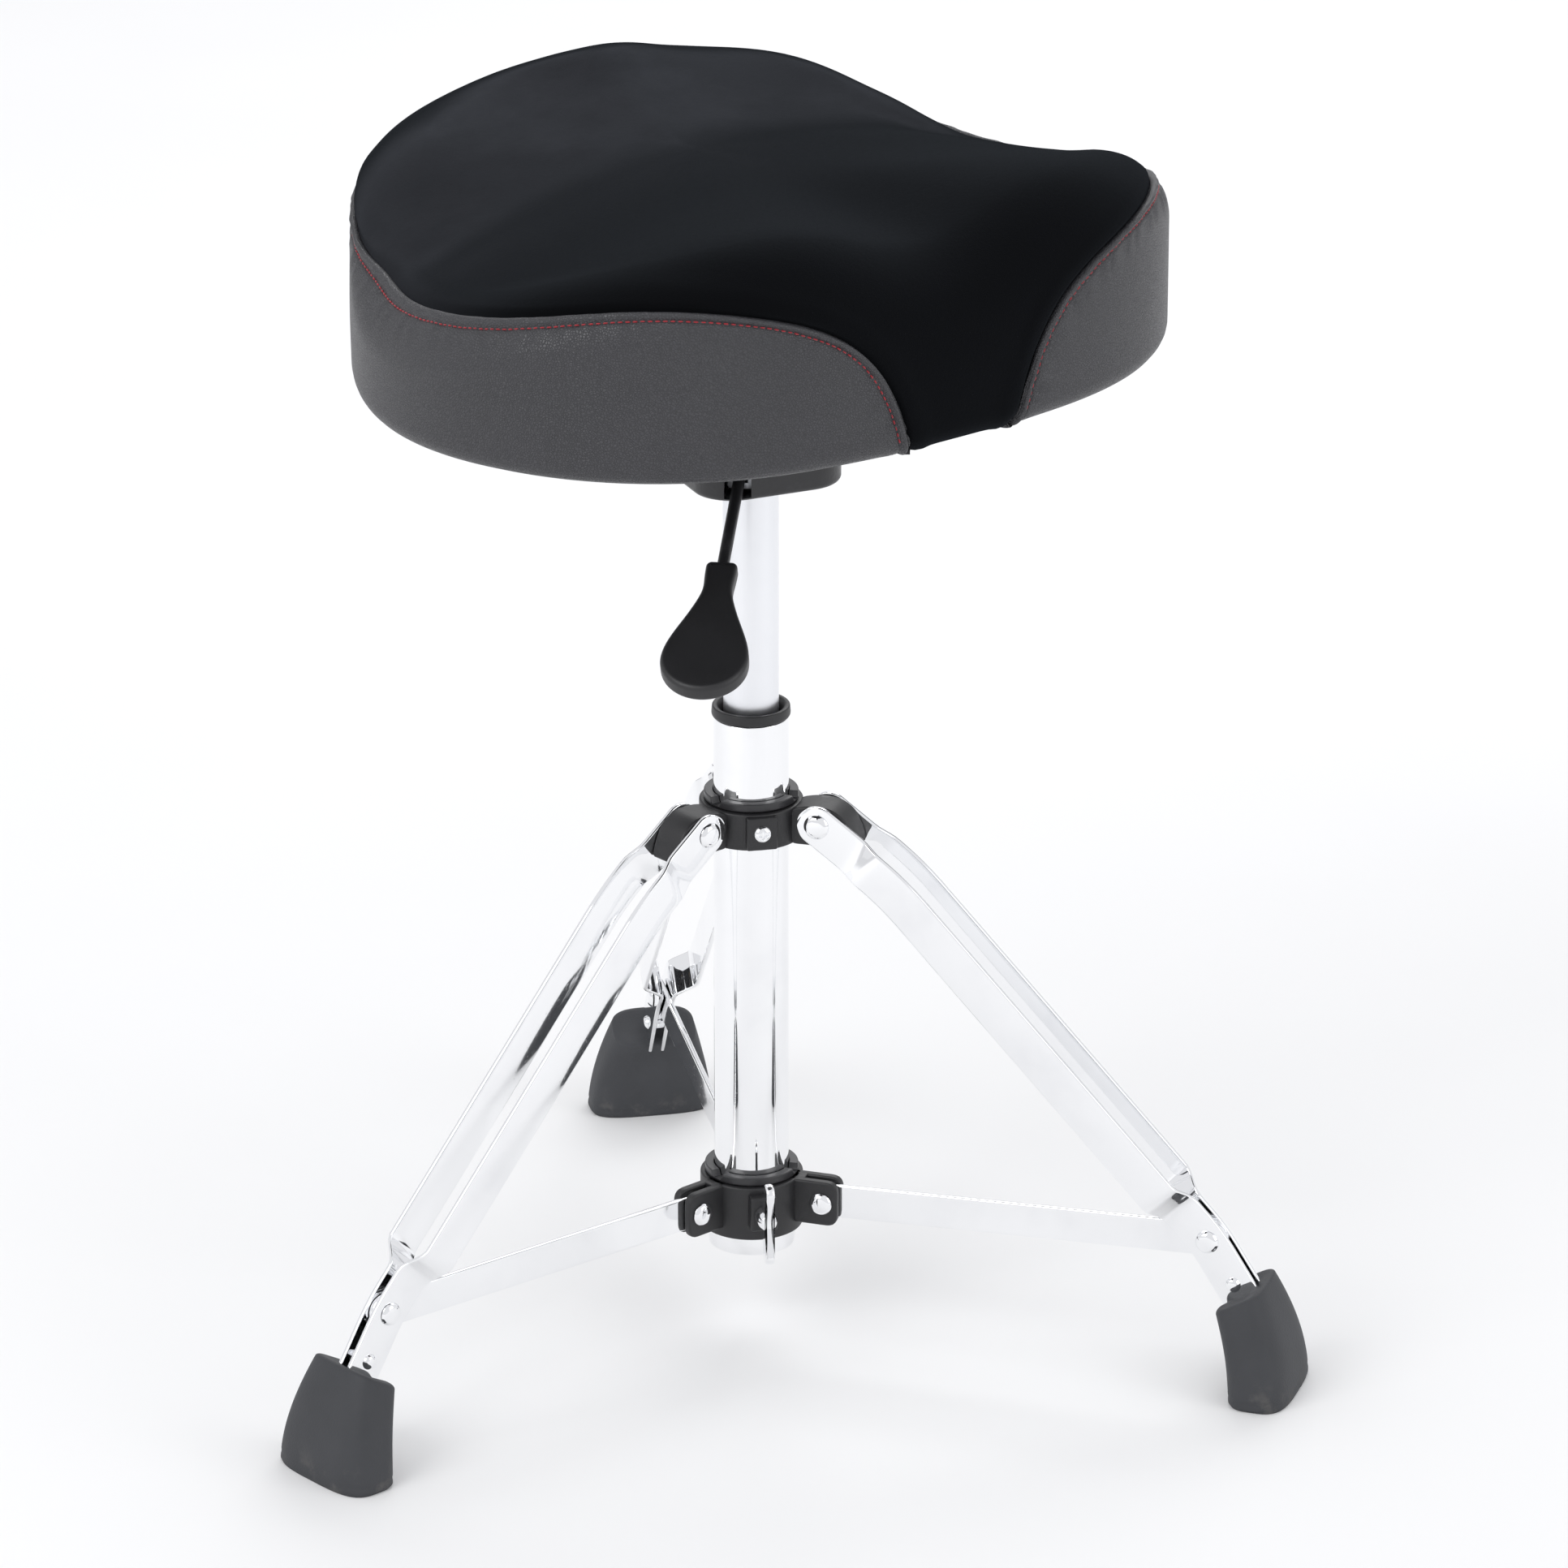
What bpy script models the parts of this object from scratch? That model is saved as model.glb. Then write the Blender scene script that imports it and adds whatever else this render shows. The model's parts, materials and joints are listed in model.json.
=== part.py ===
"""Drum throne: a padded motorcycle-style seat on a gas lift, carried by a folding three-leg stand.

Metres, +Z up, floor at Z = 0. The seat faces -Y. The origin is the middle of the object's footprint box,
and the column stands a little to the +X side of it, because one leg points along -X.

How it is built: a chrome column holds a gas lift. The lift's rod stands on a thrust bearing in the column's
foot, so the seat swivels, and its cylinder carries the seat. An upper hub is locked to the column and a
lower hub slides on it. Each leg is a pair of steel plates, hinged on the upper hub and tied to the lower
hub by a flat strut.
"""
import bmesh
import bpy
from math import atan2, cos, exp, log, pi, radians, sin, sqrt
from mathutils import Matrix, Vector

GAP = 0.0003                      # clearance between pieces that touch
RUN = 0.0004                      # clearance between pieces that slide or turn

# ---- stand -------------------------------------------------------------------------------------------
LEG_ANGLES = (-60, 60, 180)       # plan directions of the legs, degrees from +X
FOOT_REACH = 0.2763               # column axis to the middle of a foot's sole
PIVOT_R, PIVOT_Z = 0.0385, 0.281  # leg pivot on the upper hub
KNEE_R, KNEE_Z = 0.2439, 0.0781   # where strut and leg are riveted together
STRUT_R, STRUT_Z = 0.0394, 0.071  # strut pivot on the lower hub
LEG_WIDTH = 0.021
LEG_PLATE = 0.0026                # thickness of one leg plate
HEAD_SPREAD = 0.0108              # mid plane of a leg plate at the upper hub
MAIN_SPREAD = 0.0142              # mid plane along the leg
TOE_SPREAD = 0.0034               # mid plane at the strut and in the foot
STRUT_WIDTH = 0.018
STRUT_PLATE = 0.003
FOOT_HEIGHT = 0.060               # top of the foot's outer edge
FOOT_WIDTH = 0.067                # across the leg, at the sole
FOOT_DEPTH = 0.0325               # along the leg, at the sole
RIVET = 0.0039                    # shank radius

# ---- column and lift ---------------------------------------------------------------------------------
TUBE = 0.01905                    # outer radius of the column
TUBE_WALL = 0.002
COLUMN_TOP = 0.3386               # top of the plastic collar
CAP_BOTTOM = 0.0435
CYLINDER = TUBE - TUBE_WALL - 0.00305   # outer radius of the gas cylinder, in the collar's guide
CYLINDER_WALL = 0.0015
ROD = 0.005
CYLINDER_FOOT = 0.175             # lower end of the gas cylinder, with the seat at its highest

# ---- seat --------------------------------------------------------------------------------------------
SEAT_Z = 0.5219                   # lower rim of the cover
SEAT_WIDTH = 0.4335               # across the rear
SEAT_LENGTH = 0.3361              # front edge to rear edge
SEAT_BACK = 0.0426                # middle of the seat's polar outline, behind the column axis
SEAT_TURN = -3.3                  # the cushion on its mounting plate, degrees
COVER = 0.0016                    # thickness of the vinyl and the velour
BOARD = 0.012
HOUSING_Z = 0.462                 # underside of the release housing
HOUSING_HALF = 0.039
LEVER_ANGLE = -140                # plan direction of the release lever
LEVER_REACH = 0.173
LEVER_FALL = 25                   # slope of the lever outside the housing, degrees
LEVER_EXIT = 0.0084               # height of the lever over the housing's underside, where it leaves

# ---- derived places ----------------------------------------------------------------------------------
AXIS_X = (FOOT_REACH + FOOT_DEPTH / 2 - SEAT_WIDTH / 2) / 2
PIVOT = Vector((PIVOT_R, 0, PIVOT_Z))
KNEE = Vector((KNEE_R, 0, KNEE_Z))
SWING = Vector((STRUT_R, 0, STRUT_Z))
HUB_BORE = TUBE + 0.0031          # the hubs run on nylon sleeves
HUB_OUTER = HUB_BORE + 0.0042
UPPER_BOTTOM, UPPER_TOP = PIVOT_Z - 0.012, PIVOT_Z + 0.0075
LOWER_BOTTOM, LOWER_TOP = STRUT_Z - 0.017, STRUT_Z + 0.012
LUG_HALF = 0.0065                 # half width across a pair of lower hub lugs
CAP_FLOOR = CAP_BOTTOM + 0.002
BEARING_TOP = CAP_FLOOR + GAP + 0.006
CYLINDER_TOP = HOUSING_Z + 0.0145
VALVE_TOP = CYLINDER_TOP + 0.0073
LEVER_ROD = 0.003
LEVER_Z = VALVE_TOP + GAP + LEVER_ROD
LEVER_PIVOT = 0.028               # column axis to the lever's pin
PLATE_TOP = SEAT_Z + 0.0022       # the seat's mounting plate lies against the board
PLATE_THICK = 0.003
PLATE_X, PLATE_Y = 0.08, 0.06     # half sides of the mounting plate
BOARD_BOTTOM = PLATE_TOP + GAP
BOARD_TOP = BOARD_BOTTOM + BOARD
BOLT = 0.003                      # M6
NUT = 0.0042                      # outer radius of the nut's barrel in the board
BOLT_X, BOLT_Y = 0.065, 0.045     # half spacings of the seat bolts
SCREW_ANGLE = -120                # the hubs' screws face this way, between two legs

LOOKS = {                         # colour, metallic, roughness
    "chrome": ((0.82, 0.83, 0.85), 1.0, 0.12),
    "satin_steel": ((0.62, 0.63, 0.65), 1.0, 0.32),
    "steel": ((0.50, 0.50, 0.52), 1.0, 0.40),
    "black_paint": ((0.022, 0.022, 0.024), 0.0, 0.38),
    "black_plastic": ((0.020, 0.020, 0.022), 0.0, 0.45),
    "nylon": ((0.035, 0.035, 0.038), 0.0, 0.50),
    "foot_rubber": ((0.060, 0.062, 0.068), 0.0, 0.70),
    "black_velour": ((0.012, 0.012, 0.014), 0.0, 0.95),
    "black_vinyl": ((0.035, 0.036, 0.040), 0.0, 0.48),
    "plywood": ((0.55, 0.40, 0.24), 0.0, 0.75),
    "foam": ((0.70, 0.66, 0.50), 0.0, 0.95),
    "dust_cloth": ((0.018, 0.018, 0.018), 0.0, 0.95),
}


# ---- scene helpers -----------------------------------------------------------------------------------
def clear_scene():
    for item in list(bpy.data.objects):
        bpy.data.objects.remove(item, do_unlink=True)


def collection(name):
    made = bpy.data.collections.new(name)
    bpy.context.scene.collection.children.link(made)
    return made


def material(name):
    found = bpy.data.materials.get(name)
    if found:
        return found
    colour, metallic, roughness = LOOKS[name]
    made = bpy.data.materials.new(name)
    made.use_nodes = True
    shader = made.node_tree.nodes["Principled BSDF"]
    shader.inputs["Base Color"].default_value = (*colour, 1)
    shader.inputs["Metallic"].default_value = metallic
    shader.inputs["Roughness"].default_value = roughness
    return made


def empty(name, parent=None, at=(0, 0, 0), turn=0.0):
    """A frame or a joint: its children keep their parent frame's coordinates (see attach)."""
    made = bpy.data.objects.new(name, None)
    made.location = at
    made.rotation_euler.z = turn
    made.parent = parent
    PARTS.objects.link(made)
    return made


def joint(name, parent, at):
    """An empty on a joint's axis, whose children are modelled in the parent's own coordinates."""
    made = empty(name, parent, at)
    made["joint"] = True
    return made


def attach(piece, holder):
    piece.parent = holder
    if holder.get("joint"):
        piece.matrix_parent_inverse = Matrix.Translation(-holder.location)


def mesh_object(name, points, edges, faces, look, holder, cutter=False):
    mesh = bpy.data.meshes.new(name)
    mesh.from_pydata([tuple(p) for p in points], edges, faces)
    mesh.validate()
    piece = bpy.data.objects.new(name, mesh)
    (CUTTERS if cutter else PARTS).objects.link(piece)
    if cutter:
        hide(piece)
    else:
        mesh.materials.append(material(look))
    attach(piece, holder)
    return piece


def hide(piece):
    piece.hide_render = True
    piece.display_type = "WIRE"


def shade(piece, angle=35):
    piece.data.shade_smooth()
    piece.data.set_sharp_from_angle(angle=radians(angle))


def turned(name, profile, look, holder, segments=32, at=(0, 0, 0), cutter=False):
    """A solid of revolution. The profile (radius, height) runs down its outer side; one that does not
    begin and end on the axis is closed into a ring."""
    points = [(r, 0, z) for r, z in profile]
    edges = [(i, i + 1) for i in range(len(points) - 1)]
    if profile[0][0] > 0:
        edges.append((len(points) - 1, 0))
    piece = mesh_object(name, points, edges, [], look, holder, cutter)
    screw = piece.modifiers.new("Screw", "SCREW")
    screw.steps = screw.render_steps = segments
    screw.use_merge_vertices = True
    screw.merge_threshold = 0.00001
    piece.location = at
    return piece


def ring(name, inner, outer, bottom, top, look, holder, segments=32, **more):
    return turned(name, [(outer, top), (outer, bottom), (inner, bottom), (inner, top)],
                  look, holder, segments, **more)


def drum(name, radius, bottom, top, look, holder, segments=16, **more):
    return turned(name, [(0, top), (radius, top), (radius, bottom), (0, bottom)],
                  look, holder, segments, **more)


def flat(name, outline, thickness, look, holder, upright=False, mid=0.0, cutter=False):
    """A flat piece of the given thickness about its mid plane: lying at height mid, or upright in the
    X-Z plane of its holder at Y = mid."""
    points = [(x, mid, y) if upright else (x, y, mid) for x, y in outline]
    piece = mesh_object(name, points, [], [tuple(range(len(points)))], look, holder, cutter)
    thicken(piece, thickness)
    return piece


def thicken(piece, thickness, offset=0.0):
    solid = piece.modifiers.new("Solidify", "SOLIDIFY")
    solid.thickness = thickness
    solid.offset = offset
    solid.use_even_offset = True
    return piece


def block(name, low, high, holder, look=None, cutter=True):
    (x0, y0, z0), (x1, y1, z1) = low, high
    outline = [(x0, y0), (x1, y0), (x1, y1), (x0, y1)]
    return flat(name, outline, z1 - z0, look, holder, mid=(z0 + z1) / 2, cutter=cutter)


def combine(piece, tools, operation):
    for tool in tools:
        step = piece.modifiers.new(tool.name, "BOOLEAN")
        step.operation = operation
        step.object = tool
        step.solver = "EXACT"
    return piece


def joined(piece, *tools):
    return combine(piece, tools, "UNION")


def cut(piece, *tools):
    return combine(piece, tools, "DIFFERENCE")


def arc(centre, radius, start, end, steps):
    """Points on a circle from start to end, in degrees."""
    turn = [radians(start + (end - start) * i / steps) for i in range(steps + 1)]
    return [(centre[0] + radius * cos(a), centre[1] + radius * sin(a)) for a in turn]


def smooth(x):
    x = min(max(x, 0.0), 1.0)
    return x * x * (3 - 2 * x)


def rivet(name, inner, seat, look, holder, at, head=0.0065, half=False):
    """A domed rivet across the leg plane: its heads sit outside +-seat. A half rivet only fills one
    plate, from inner outwards, on the side that the sign of seat gives."""
    side = 1 if seat > 0 else -1
    seat = abs(seat)
    dome = [(0, seat + 0.0024), (head * 0.7, seat + 0.0018), (head, seat), (RIVET, seat)]
    if half:
        profile = dome + [(RIVET, inner), (0, inner)]
    else:
        profile = dome + [(r, -z) for r, z in reversed(dome)]
    piece = turned(name, profile, look, holder, 12, at=at)
    piece.rotation_euler = (-pi / 2 * side, 0, 0)
    shade(piece)
    return piece


# ---- legs --------------------------------------------------------------------------------------------
def leg_line():
    """The leg's centreline in its own plane: pivot, shoulder, knee, foot."""
    shoulder = Vector((PIVOT_R + 0.0405, 0, PIVOT_Z - 0.029))
    return [PIVOT, shoulder, KNEE, foot_mouth(), foot_mouth() + toe_direction() * 0.020]


def foot_mouth():
    return Vector((FOOT_REACH - 0.0143, 0, FOOT_HEIGHT - 0.010))


def toe_direction():
    return (foot_mouth() - KNEE).normalized()


def leg_plate(name, side, holder):
    """One leg plate: a ruled strip whose mid plane steps outwards below the pivot and inwards above the
    knee, with a round nose on the pivot."""
    line = leg_line()
    lengths = [(b - a).length for a, b in zip(line, line[1:])]
    knee_at = lengths[0] + lengths[1]
    half = LEG_WIDTH / 2
    nose = [-half * cos(radians(a)) for a in (18, 40, 62, 84)]
    bends = [lengths[0], knee_at, knee_at + lengths[2]]
    steps = [0.022, 0.035, knee_at - 0.035, knee_at - 0.020]
    stations = sorted(nose + [0.0, sum(lengths)] + bends + steps)
    upper, lower = [], []
    for s in stations:
        centre, normal = along_line(line, lengths, s)
        width = half if s >= 0 else sqrt(half ** 2 - s ** 2)
        spread = HEAD_SPREAD + (MAIN_SPREAD - HEAD_SPREAD) * smooth((s - steps[0]) / (steps[1] - steps[0]))
        spread += (TOE_SPREAD - MAIN_SPREAD) * smooth((s - steps[2]) / (steps[3] - steps[2]))
        shift = Vector((0, side * spread, 0))
        upper.append(centre + normal * width + shift)
        lower.append(centre - normal * width + shift)
    count = len(stations)
    faces = [(i, i + 1, count + i + 1, count + i) for i in range(count - 1)]
    piece = mesh_object(name, upper + lower, [], faces, "chrome", holder)
    return thicken(piece, LEG_PLATE)


def along_line(line, lengths, s):
    """Point and upward normal at distance s along the centreline, with mitred normals at its bends."""
    start = 0.0
    for i, length in enumerate(lengths):
        if s < start + length + 1e-7 or i == len(lengths) - 1:
            break
        start += length
    forward = (line[i + 1] - line[i]).normalized()
    centre = line[i] + forward * (s - start)
    normal = Vector((-forward.z, 0, forward.x))
    if abs(s - start - lengths[i]) < 1e-7 and i + 1 < len(lengths):
        after = (line[i + 2] - line[i + 1]).normalized()
        normal = (normal + Vector((-after.z, 0, after.x))).normalized()
    return centre, normal


def foot_section(t, count=24):
    """One level of the foot, from the sole (t = 0) to the tilted top (t = 1): a rounded oblong between an
    inner face that is slightly hollow and an outer face that bulges."""
    inner = Vector((FOOT_REACH - FOOT_DEPTH / 2 - 0.0096 * t + 0.002 * sin(pi * t), 0,
                    (FOOT_HEIGHT - 0.0150) * t))
    outer = Vector((FOOT_REACH + FOOT_DEPTH / 2 - 0.018 * t ** 1.8, 0, FOOT_HEIGHT * t))
    centre = (inner + outer) / 2
    half = (outer - inner) / 2
    wide = FOOT_WIDTH / 2 - 0.0116 * t ** 1.6
    points = []
    for i in range(count):
        a = 2 * pi * i / count
        c, s = cos(a), sin(a)
        shape = (abs(c) ** 3.4 + abs(s) ** 3.4) ** (-1 / 3.4)
        points.append(centre + half * (c * shape) + Vector((0, wide * s * shape, 0)))
    return points


def foot(name, holder):
    levels = [foot_section(t) for t in (0, 0.2, 0.4, 0.6, 0.8, 0.95, 1.0)]
    count = len(levels[0])
    points = [p for level in levels for p in level]
    faces = [tuple(range(count - 1, -1, -1)), tuple(range(len(points) - count, len(points)))]
    for k in range(len(levels) - 1):
        for i in range(count):
            j = (i + 1) % count
            faces.append((k * count + i, k * count + j, (k + 1) * count + j, (k + 1) * count + i))
    piece = mesh_object(name, points, [], faces, "foot_rubber", holder)
    return cut(piece, foot_slot(name + "_slot", holder))


def foot_slot(name, holder):
    """The pocket that the two plates push into, open at the top and between the plates."""
    ahead = toe_direction()
    side = Vector((-ahead.z, 0, ahead.x)) * (LEG_WIDTH / 2 + GAP)
    start, end = foot_mouth() - ahead * 0.020, foot_mouth() + ahead * (0.020 + GAP)
    corners = [start - side, end - side, end + side, start + side]
    return flat(name, [(p.x, p.z) for p in corners], 2 * (TOE_SPREAD + LEG_PLATE / 2 + GAP), None, holder,
                upright=True, cutter=True)


def cross_hole(name, at, holder, radius=RIVET + GAP, reach=0.05):
    hole = drum(name, radius, -reach, reach, None, holder, 12, cutter=True)
    hole.location = at
    hole.rotation_euler = (pi / 2, 0, 0)
    return hole


def make_leg(number, frame):
    name = f"leg_{number}"
    pivot = joint(name + "_pivot", frame, PIVOT)
    pivot_hole = cross_hole(name + "_pivot_hole", PIVOT, frame)
    knee_hole = cross_hole(name + "_knee_hole", KNEE, frame)
    for side, letter in ((1, "left"), (-1, "right")):
        plate = leg_plate(f"{name}_plate_{letter}", side, pivot)
        cut(plate, pivot_hole, knee_hole)
        shade(plate, 20)
        seat = side * (TOE_SPREAD + LEG_PLATE / 2 + GAP)
        rivet(f"{name}_knee_rivet_{letter}", TOE_SPREAD - LEG_PLATE / 2 + 0.0001, seat, "chrome", pivot, KNEE,
              head=0.006, half=True)
    rivet(f"{name}_pivot_rivet", 0, HEAD_SPREAD + LEG_PLATE / 2 + GAP, "chrome", pivot, PIVOT)
    shade(foot(name + "_foot", pivot), 40)
    return pivot_hole


def make_strut(number, frame):
    """A flat bar from the lower hub's lugs to the knee. Its outer end stays clear of the knee's rivets."""
    holder = joint(f"strut_{number}_pivot", frame, SWING)
    half = STRUT_WIDTH / 2
    reach = (KNEE - SWING).length
    rise = atan2(KNEE_Z - STRUT_Z, KNEE_R - STRUT_R)
    outline = arc((0, 0), half, 90, 270, 8) + arc((reach, 0), half, -90, 90, 8)
    turn = Matrix.Rotation(-rise, 4, "Y")
    points = [SWING + turn @ Vector((x, 0, z)) for x, z in outline]
    bar = flat(f"strut_{number}", [(p.x, p.z) for p in points], STRUT_PLATE, "chrome", holder, upright=True)
    cut(bar, cross_hole(f"strut_{number}_hole", SWING, frame))
    cut(bar, cross_hole(f"strut_{number}_knee_hole", KNEE, frame))
    shade(bar)
    rivet(f"strut_{number}_rivet", 0, LUG_HALF + GAP, "chrome", frame, SWING, head=0.006)


# ---- hubs --------------------------------------------------------------------------------------------
def upper_hub(frames, pivot_holes, screw_frame):
    hub = ring("upper_hub", TUBE + 0.001, HUB_OUTER, UPPER_BOTTOM, UPPER_TOP, "black_plastic", STAND)
    root, tip = TUBE + 0.002, PIVOT_R + 0.020
    ear = [(root, UPPER_BOTTOM + 0.0004), (PIVOT_R + 0.010, UPPER_BOTTOM + 0.0006),
           (tip - 0.002, UPPER_BOTTOM - 0.0011), (tip, UPPER_BOTTOM + 0.0002),
           (tip - 0.0015, UPPER_BOTTOM + 0.007), (PIVOT_R + 0.014, UPPER_TOP - 0.003),
           (PIVOT_R + 0.006, UPPER_TOP + 0.0018), (PIVOT_R - 0.006, UPPER_TOP + 0.0018),
           (root, UPPER_TOP - 0.0006)]
    thickness = 2 * (HEAD_SPREAD - LEG_PLATE / 2 - GAP)
    ears = [flat(f"upper_ear_{i + 1}", ear, thickness, None, frame, upright=True, cutter=True)
            for i, frame in enumerate(frames)]
    face = HUB_OUTER + 0.0022
    boss = block("upper_boss", (TUBE + 0.002, -0.008, UPPER_BOTTOM + 0.001),
                 (face, 0.008, UPPER_TOP - 0.001), screw_frame)
    joined(hub, *ears, boss)
    bore = drum("upper_bore", HUB_BORE, UPPER_BOTTOM - 0.01, UPPER_TOP + 0.01, None, STAND, 32, cutter=True)
    hole = lying_drum("upper_screw_hole", 0.0024 + GAP, TUBE, face + 0.004, PIVOT_Z - 0.002, screw_frame)
    cut(hub, bore, *pivot_holes, hole)
    shade(hub)
    sleeve("upper_hub_sleeve", UPPER_BOTTOM - 0.0012, UPPER_TOP, STAND)
    pan_screw("hub_lock_screw", face, PIVOT_Z - 0.002, screw_frame)


def lying_drum(name, radius, start, end, height, frame):
    """A cutter along the frame's X axis."""
    piece = drum(name, radius, start, end, None, frame, 12, cutter=True)
    piece.location = (0, 0, height)
    piece.rotation_euler = (0, pi / 2, 0)
    return piece


def sleeve(name, bottom, top, holder):
    """The nylon bush between a hub and the column, with a notched lip on top."""
    body, lip = HUB_BORE - GAP, HUB_BORE + 0.0018
    rise = top + GAP
    profile = [(lip, rise + 0.0042), (lip, rise), (body, rise), (body, bottom), (TUBE + GAP, bottom),
               (TUBE + GAP, rise + 0.0042)]
    piece = turned(name, profile, "nylon", holder, 30)
    for i in range(3):
        frame = empty(f"{name}_notch_frame_{i + 1}", holder, turn=radians(SCREW_ANGLE + 60 + 120 * i))
        cut(piece, block(f"{name}_notch_{i + 1}", (TUBE - 0.004, -0.003, rise + 0.0012),
                         (lip + 0.004, 0.003, rise + 0.008), frame))
    shade(piece)
    return piece


def pan_screw(name, face, height, frame):
    profile = [(0, face + 0.0029), (0.0030, face + 0.0027), (0.0045, face + 0.0012), (0.0045, face + GAP),
               (0.0024, face + GAP), (0.0024, HUB_BORE + GAP), (0, HUB_BORE + GAP)]
    piece = turned(name, profile, "chrome", frame, 16, at=(0, 0, height))
    piece.rotation_euler = (0, pi / 2, 0)
    for i, (w, h) in enumerate(((0.0021, 0.0004), (0.0004, 0.0021))):
        cut(piece, block(f"{name}_recess_{i + 1}", (face + 0.0016, -w, height - h),
                         (face + 0.006, w, height + h), frame))
    shade(piece)


def lower_hub(frames, slide, screw_frame):
    hub = ring("lower_hub", TUBE + 0.001, HUB_OUTER, LOWER_BOTTOM, LOWER_TOP, "black_plastic", slide)
    low, high, tip = STRUT_Z - 0.012, STRUT_Z + 0.012, STRUT_R + 0.0085
    lug = [(TUBE + 0.002, low), (tip - 0.005, low), (tip, low + 0.005), (tip, high - 0.005),
           (tip - 0.005, high), (TUBE + 0.002, high)]
    gap_start = STRUT_R - STRUT_WIDTH / 2 - 0.0006
    lugs, slots = [], []
    for i, frame in enumerate(frames):
        lugs.append(flat(f"lower_lug_{i + 1}", lug, 2 * LUG_HALF, None, frame, upright=True, cutter=True))
        slots.append(block(f"lower_slot_{i + 1}", (gap_start, -STRUT_PLATE / 2 - RUN, low - 0.02),
                           (tip + 0.02, STRUT_PLATE / 2 + RUN, high + 0.02), frame))
        slots.append(cross_hole(f"lower_pin_hole_{i + 1}", SWING, frame))
    face = HUB_OUTER + 0.0065
    boss = block("lower_boss", (TUBE + 0.002, -0.007, STRUT_Z - 0.009), (face, 0.007, STRUT_Z + 0.009),
                 screw_frame)
    joined(hub, *lugs, boss)
    bore = drum("lower_bore", HUB_BORE, LOWER_BOTTOM - 0.01, LOWER_TOP + 0.01, None, STAND, 32, cutter=True)
    hole = lying_drum("wing_screw_hole", 0.003 + GAP, TUBE, face + 0.004, STRUT_Z, screw_frame)
    cut(hub, bore, *slots, hole)
    shade(hub)
    sleeve("lower_hub_sleeve", CAP_BOTTOM + 0.0108, LOWER_TOP, slide)
    wing_screw(face, screw_frame, slide)


def wing_screw(face, frame, slide):
    """Shank, boss and two wings in one casting, turned so that one wing points up and one down."""
    profile = [(0, face + 0.0115), (0.0036, face + 0.011), (0.0052, face + 0.0075), (0.0056, face + GAP),
               (0.003, face + GAP), (0.003, HUB_BORE + GAP), (0, HUB_BORE + GAP)]
    pivot = joint("wing_screw_axis", frame, Vector((0, 0, STRUT_Z)))
    piece = turned("wing_screw", profile, "chrome", pivot, 16, at=(0, 0, STRUT_Z))
    piece.rotation_euler = (0, pi / 2, 0)
    x = face + 0.0065
    upper = arc((x + 0.005, 0.0165), 0.0055, 10, 170, 6)
    lower = arc((x + 0.005, -0.0165), 0.0055, 190, 350, 6)
    wing = [(x - 0.004, -0.003), (x - 0.001, -0.012)] + lower
    wing += [(x + 0.006, -0.004), (x + 0.0052, 0.0), (x + 0.006, 0.004)] + upper
    wing += [(x - 0.001, 0.012), (x - 0.004, 0.003)]
    outline = [(px, pz + STRUT_Z) for px, pz in wing]
    joined(piece, flat("wing_screw_wings", outline, 0.0045, None, frame, upright=True, cutter=True))
    shade(piece)


# ---- column and gas lift -----------------------------------------------------------------------------
def make_column():
    inner = TUBE - TUBE_WALL
    shade(ring("column_tube", inner, TUBE, CAP_FLOOR + GAP, COLUMN_TOP - 0.006, "chrome", STAND))
    top = COLUMN_TOP
    collar = [(CYLINDER + 0.0030, top), (TUBE + 0.0006, top - 0.0008), (TUBE + 0.0009, top - 0.0045),
              (TUBE + 0.0004, top - 0.006 + GAP), (inner - GAP, top - 0.006 + GAP),
              (inner - GAP, top - 0.022), (CYLINDER + RUN, top - 0.022), (CYLINDER + RUN, top - 0.002)]
    shade(turned("column_collar", collar, "black_plastic", STAND))
    rim = TUBE + 0.003
    cap_top = CAP_BOTTOM + 0.0102
    cap = [(rim, cap_top), (rim, CAP_BOTTOM + 0.0015), (rim - 0.0015, CAP_BOTTOM),
           (ROD + 0.0006, CAP_BOTTOM), (ROD + 0.0006, CAP_FLOOR), (TUBE + GAP, CAP_FLOOR),
           (TUBE + GAP, cap_top)]
    shade(turned("base_cap", cap, "chrome", STAND))
    ring("thrust_bearing", ROD + 0.0006, 0.0135, CAP_FLOOR + GAP, BEARING_TOP, "steel", STAND, 24)


def make_lift_rod(swivel):
    tip = CYLINDER_FOOT + 0.032
    low = BEARING_TOP + GAP
    profile = [(0, tip), (ROD, tip), (ROD, low + 0.004), (0.009, low + 0.004), (0.009, low), (ROD, low),
               (ROD, CAP_BOTTOM - 0.004), (0, CAP_BOTTOM - 0.004)]
    shade(turned("piston_rod", profile, "chrome", swivel, 20))
    ring("piston", ROD + GAP, CYLINDER - CYLINDER_WALL - GAP, CYLINDER_FOOT + 0.020, CYLINDER_FOOT + 0.030,
         "steel", swivel, 24)
    ring("rod_clip", ROD + GAP, 0.0085, CAP_BOTTOM - 0.0017, CAP_BOTTOM - GAP, "steel", swivel, 16)


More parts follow.
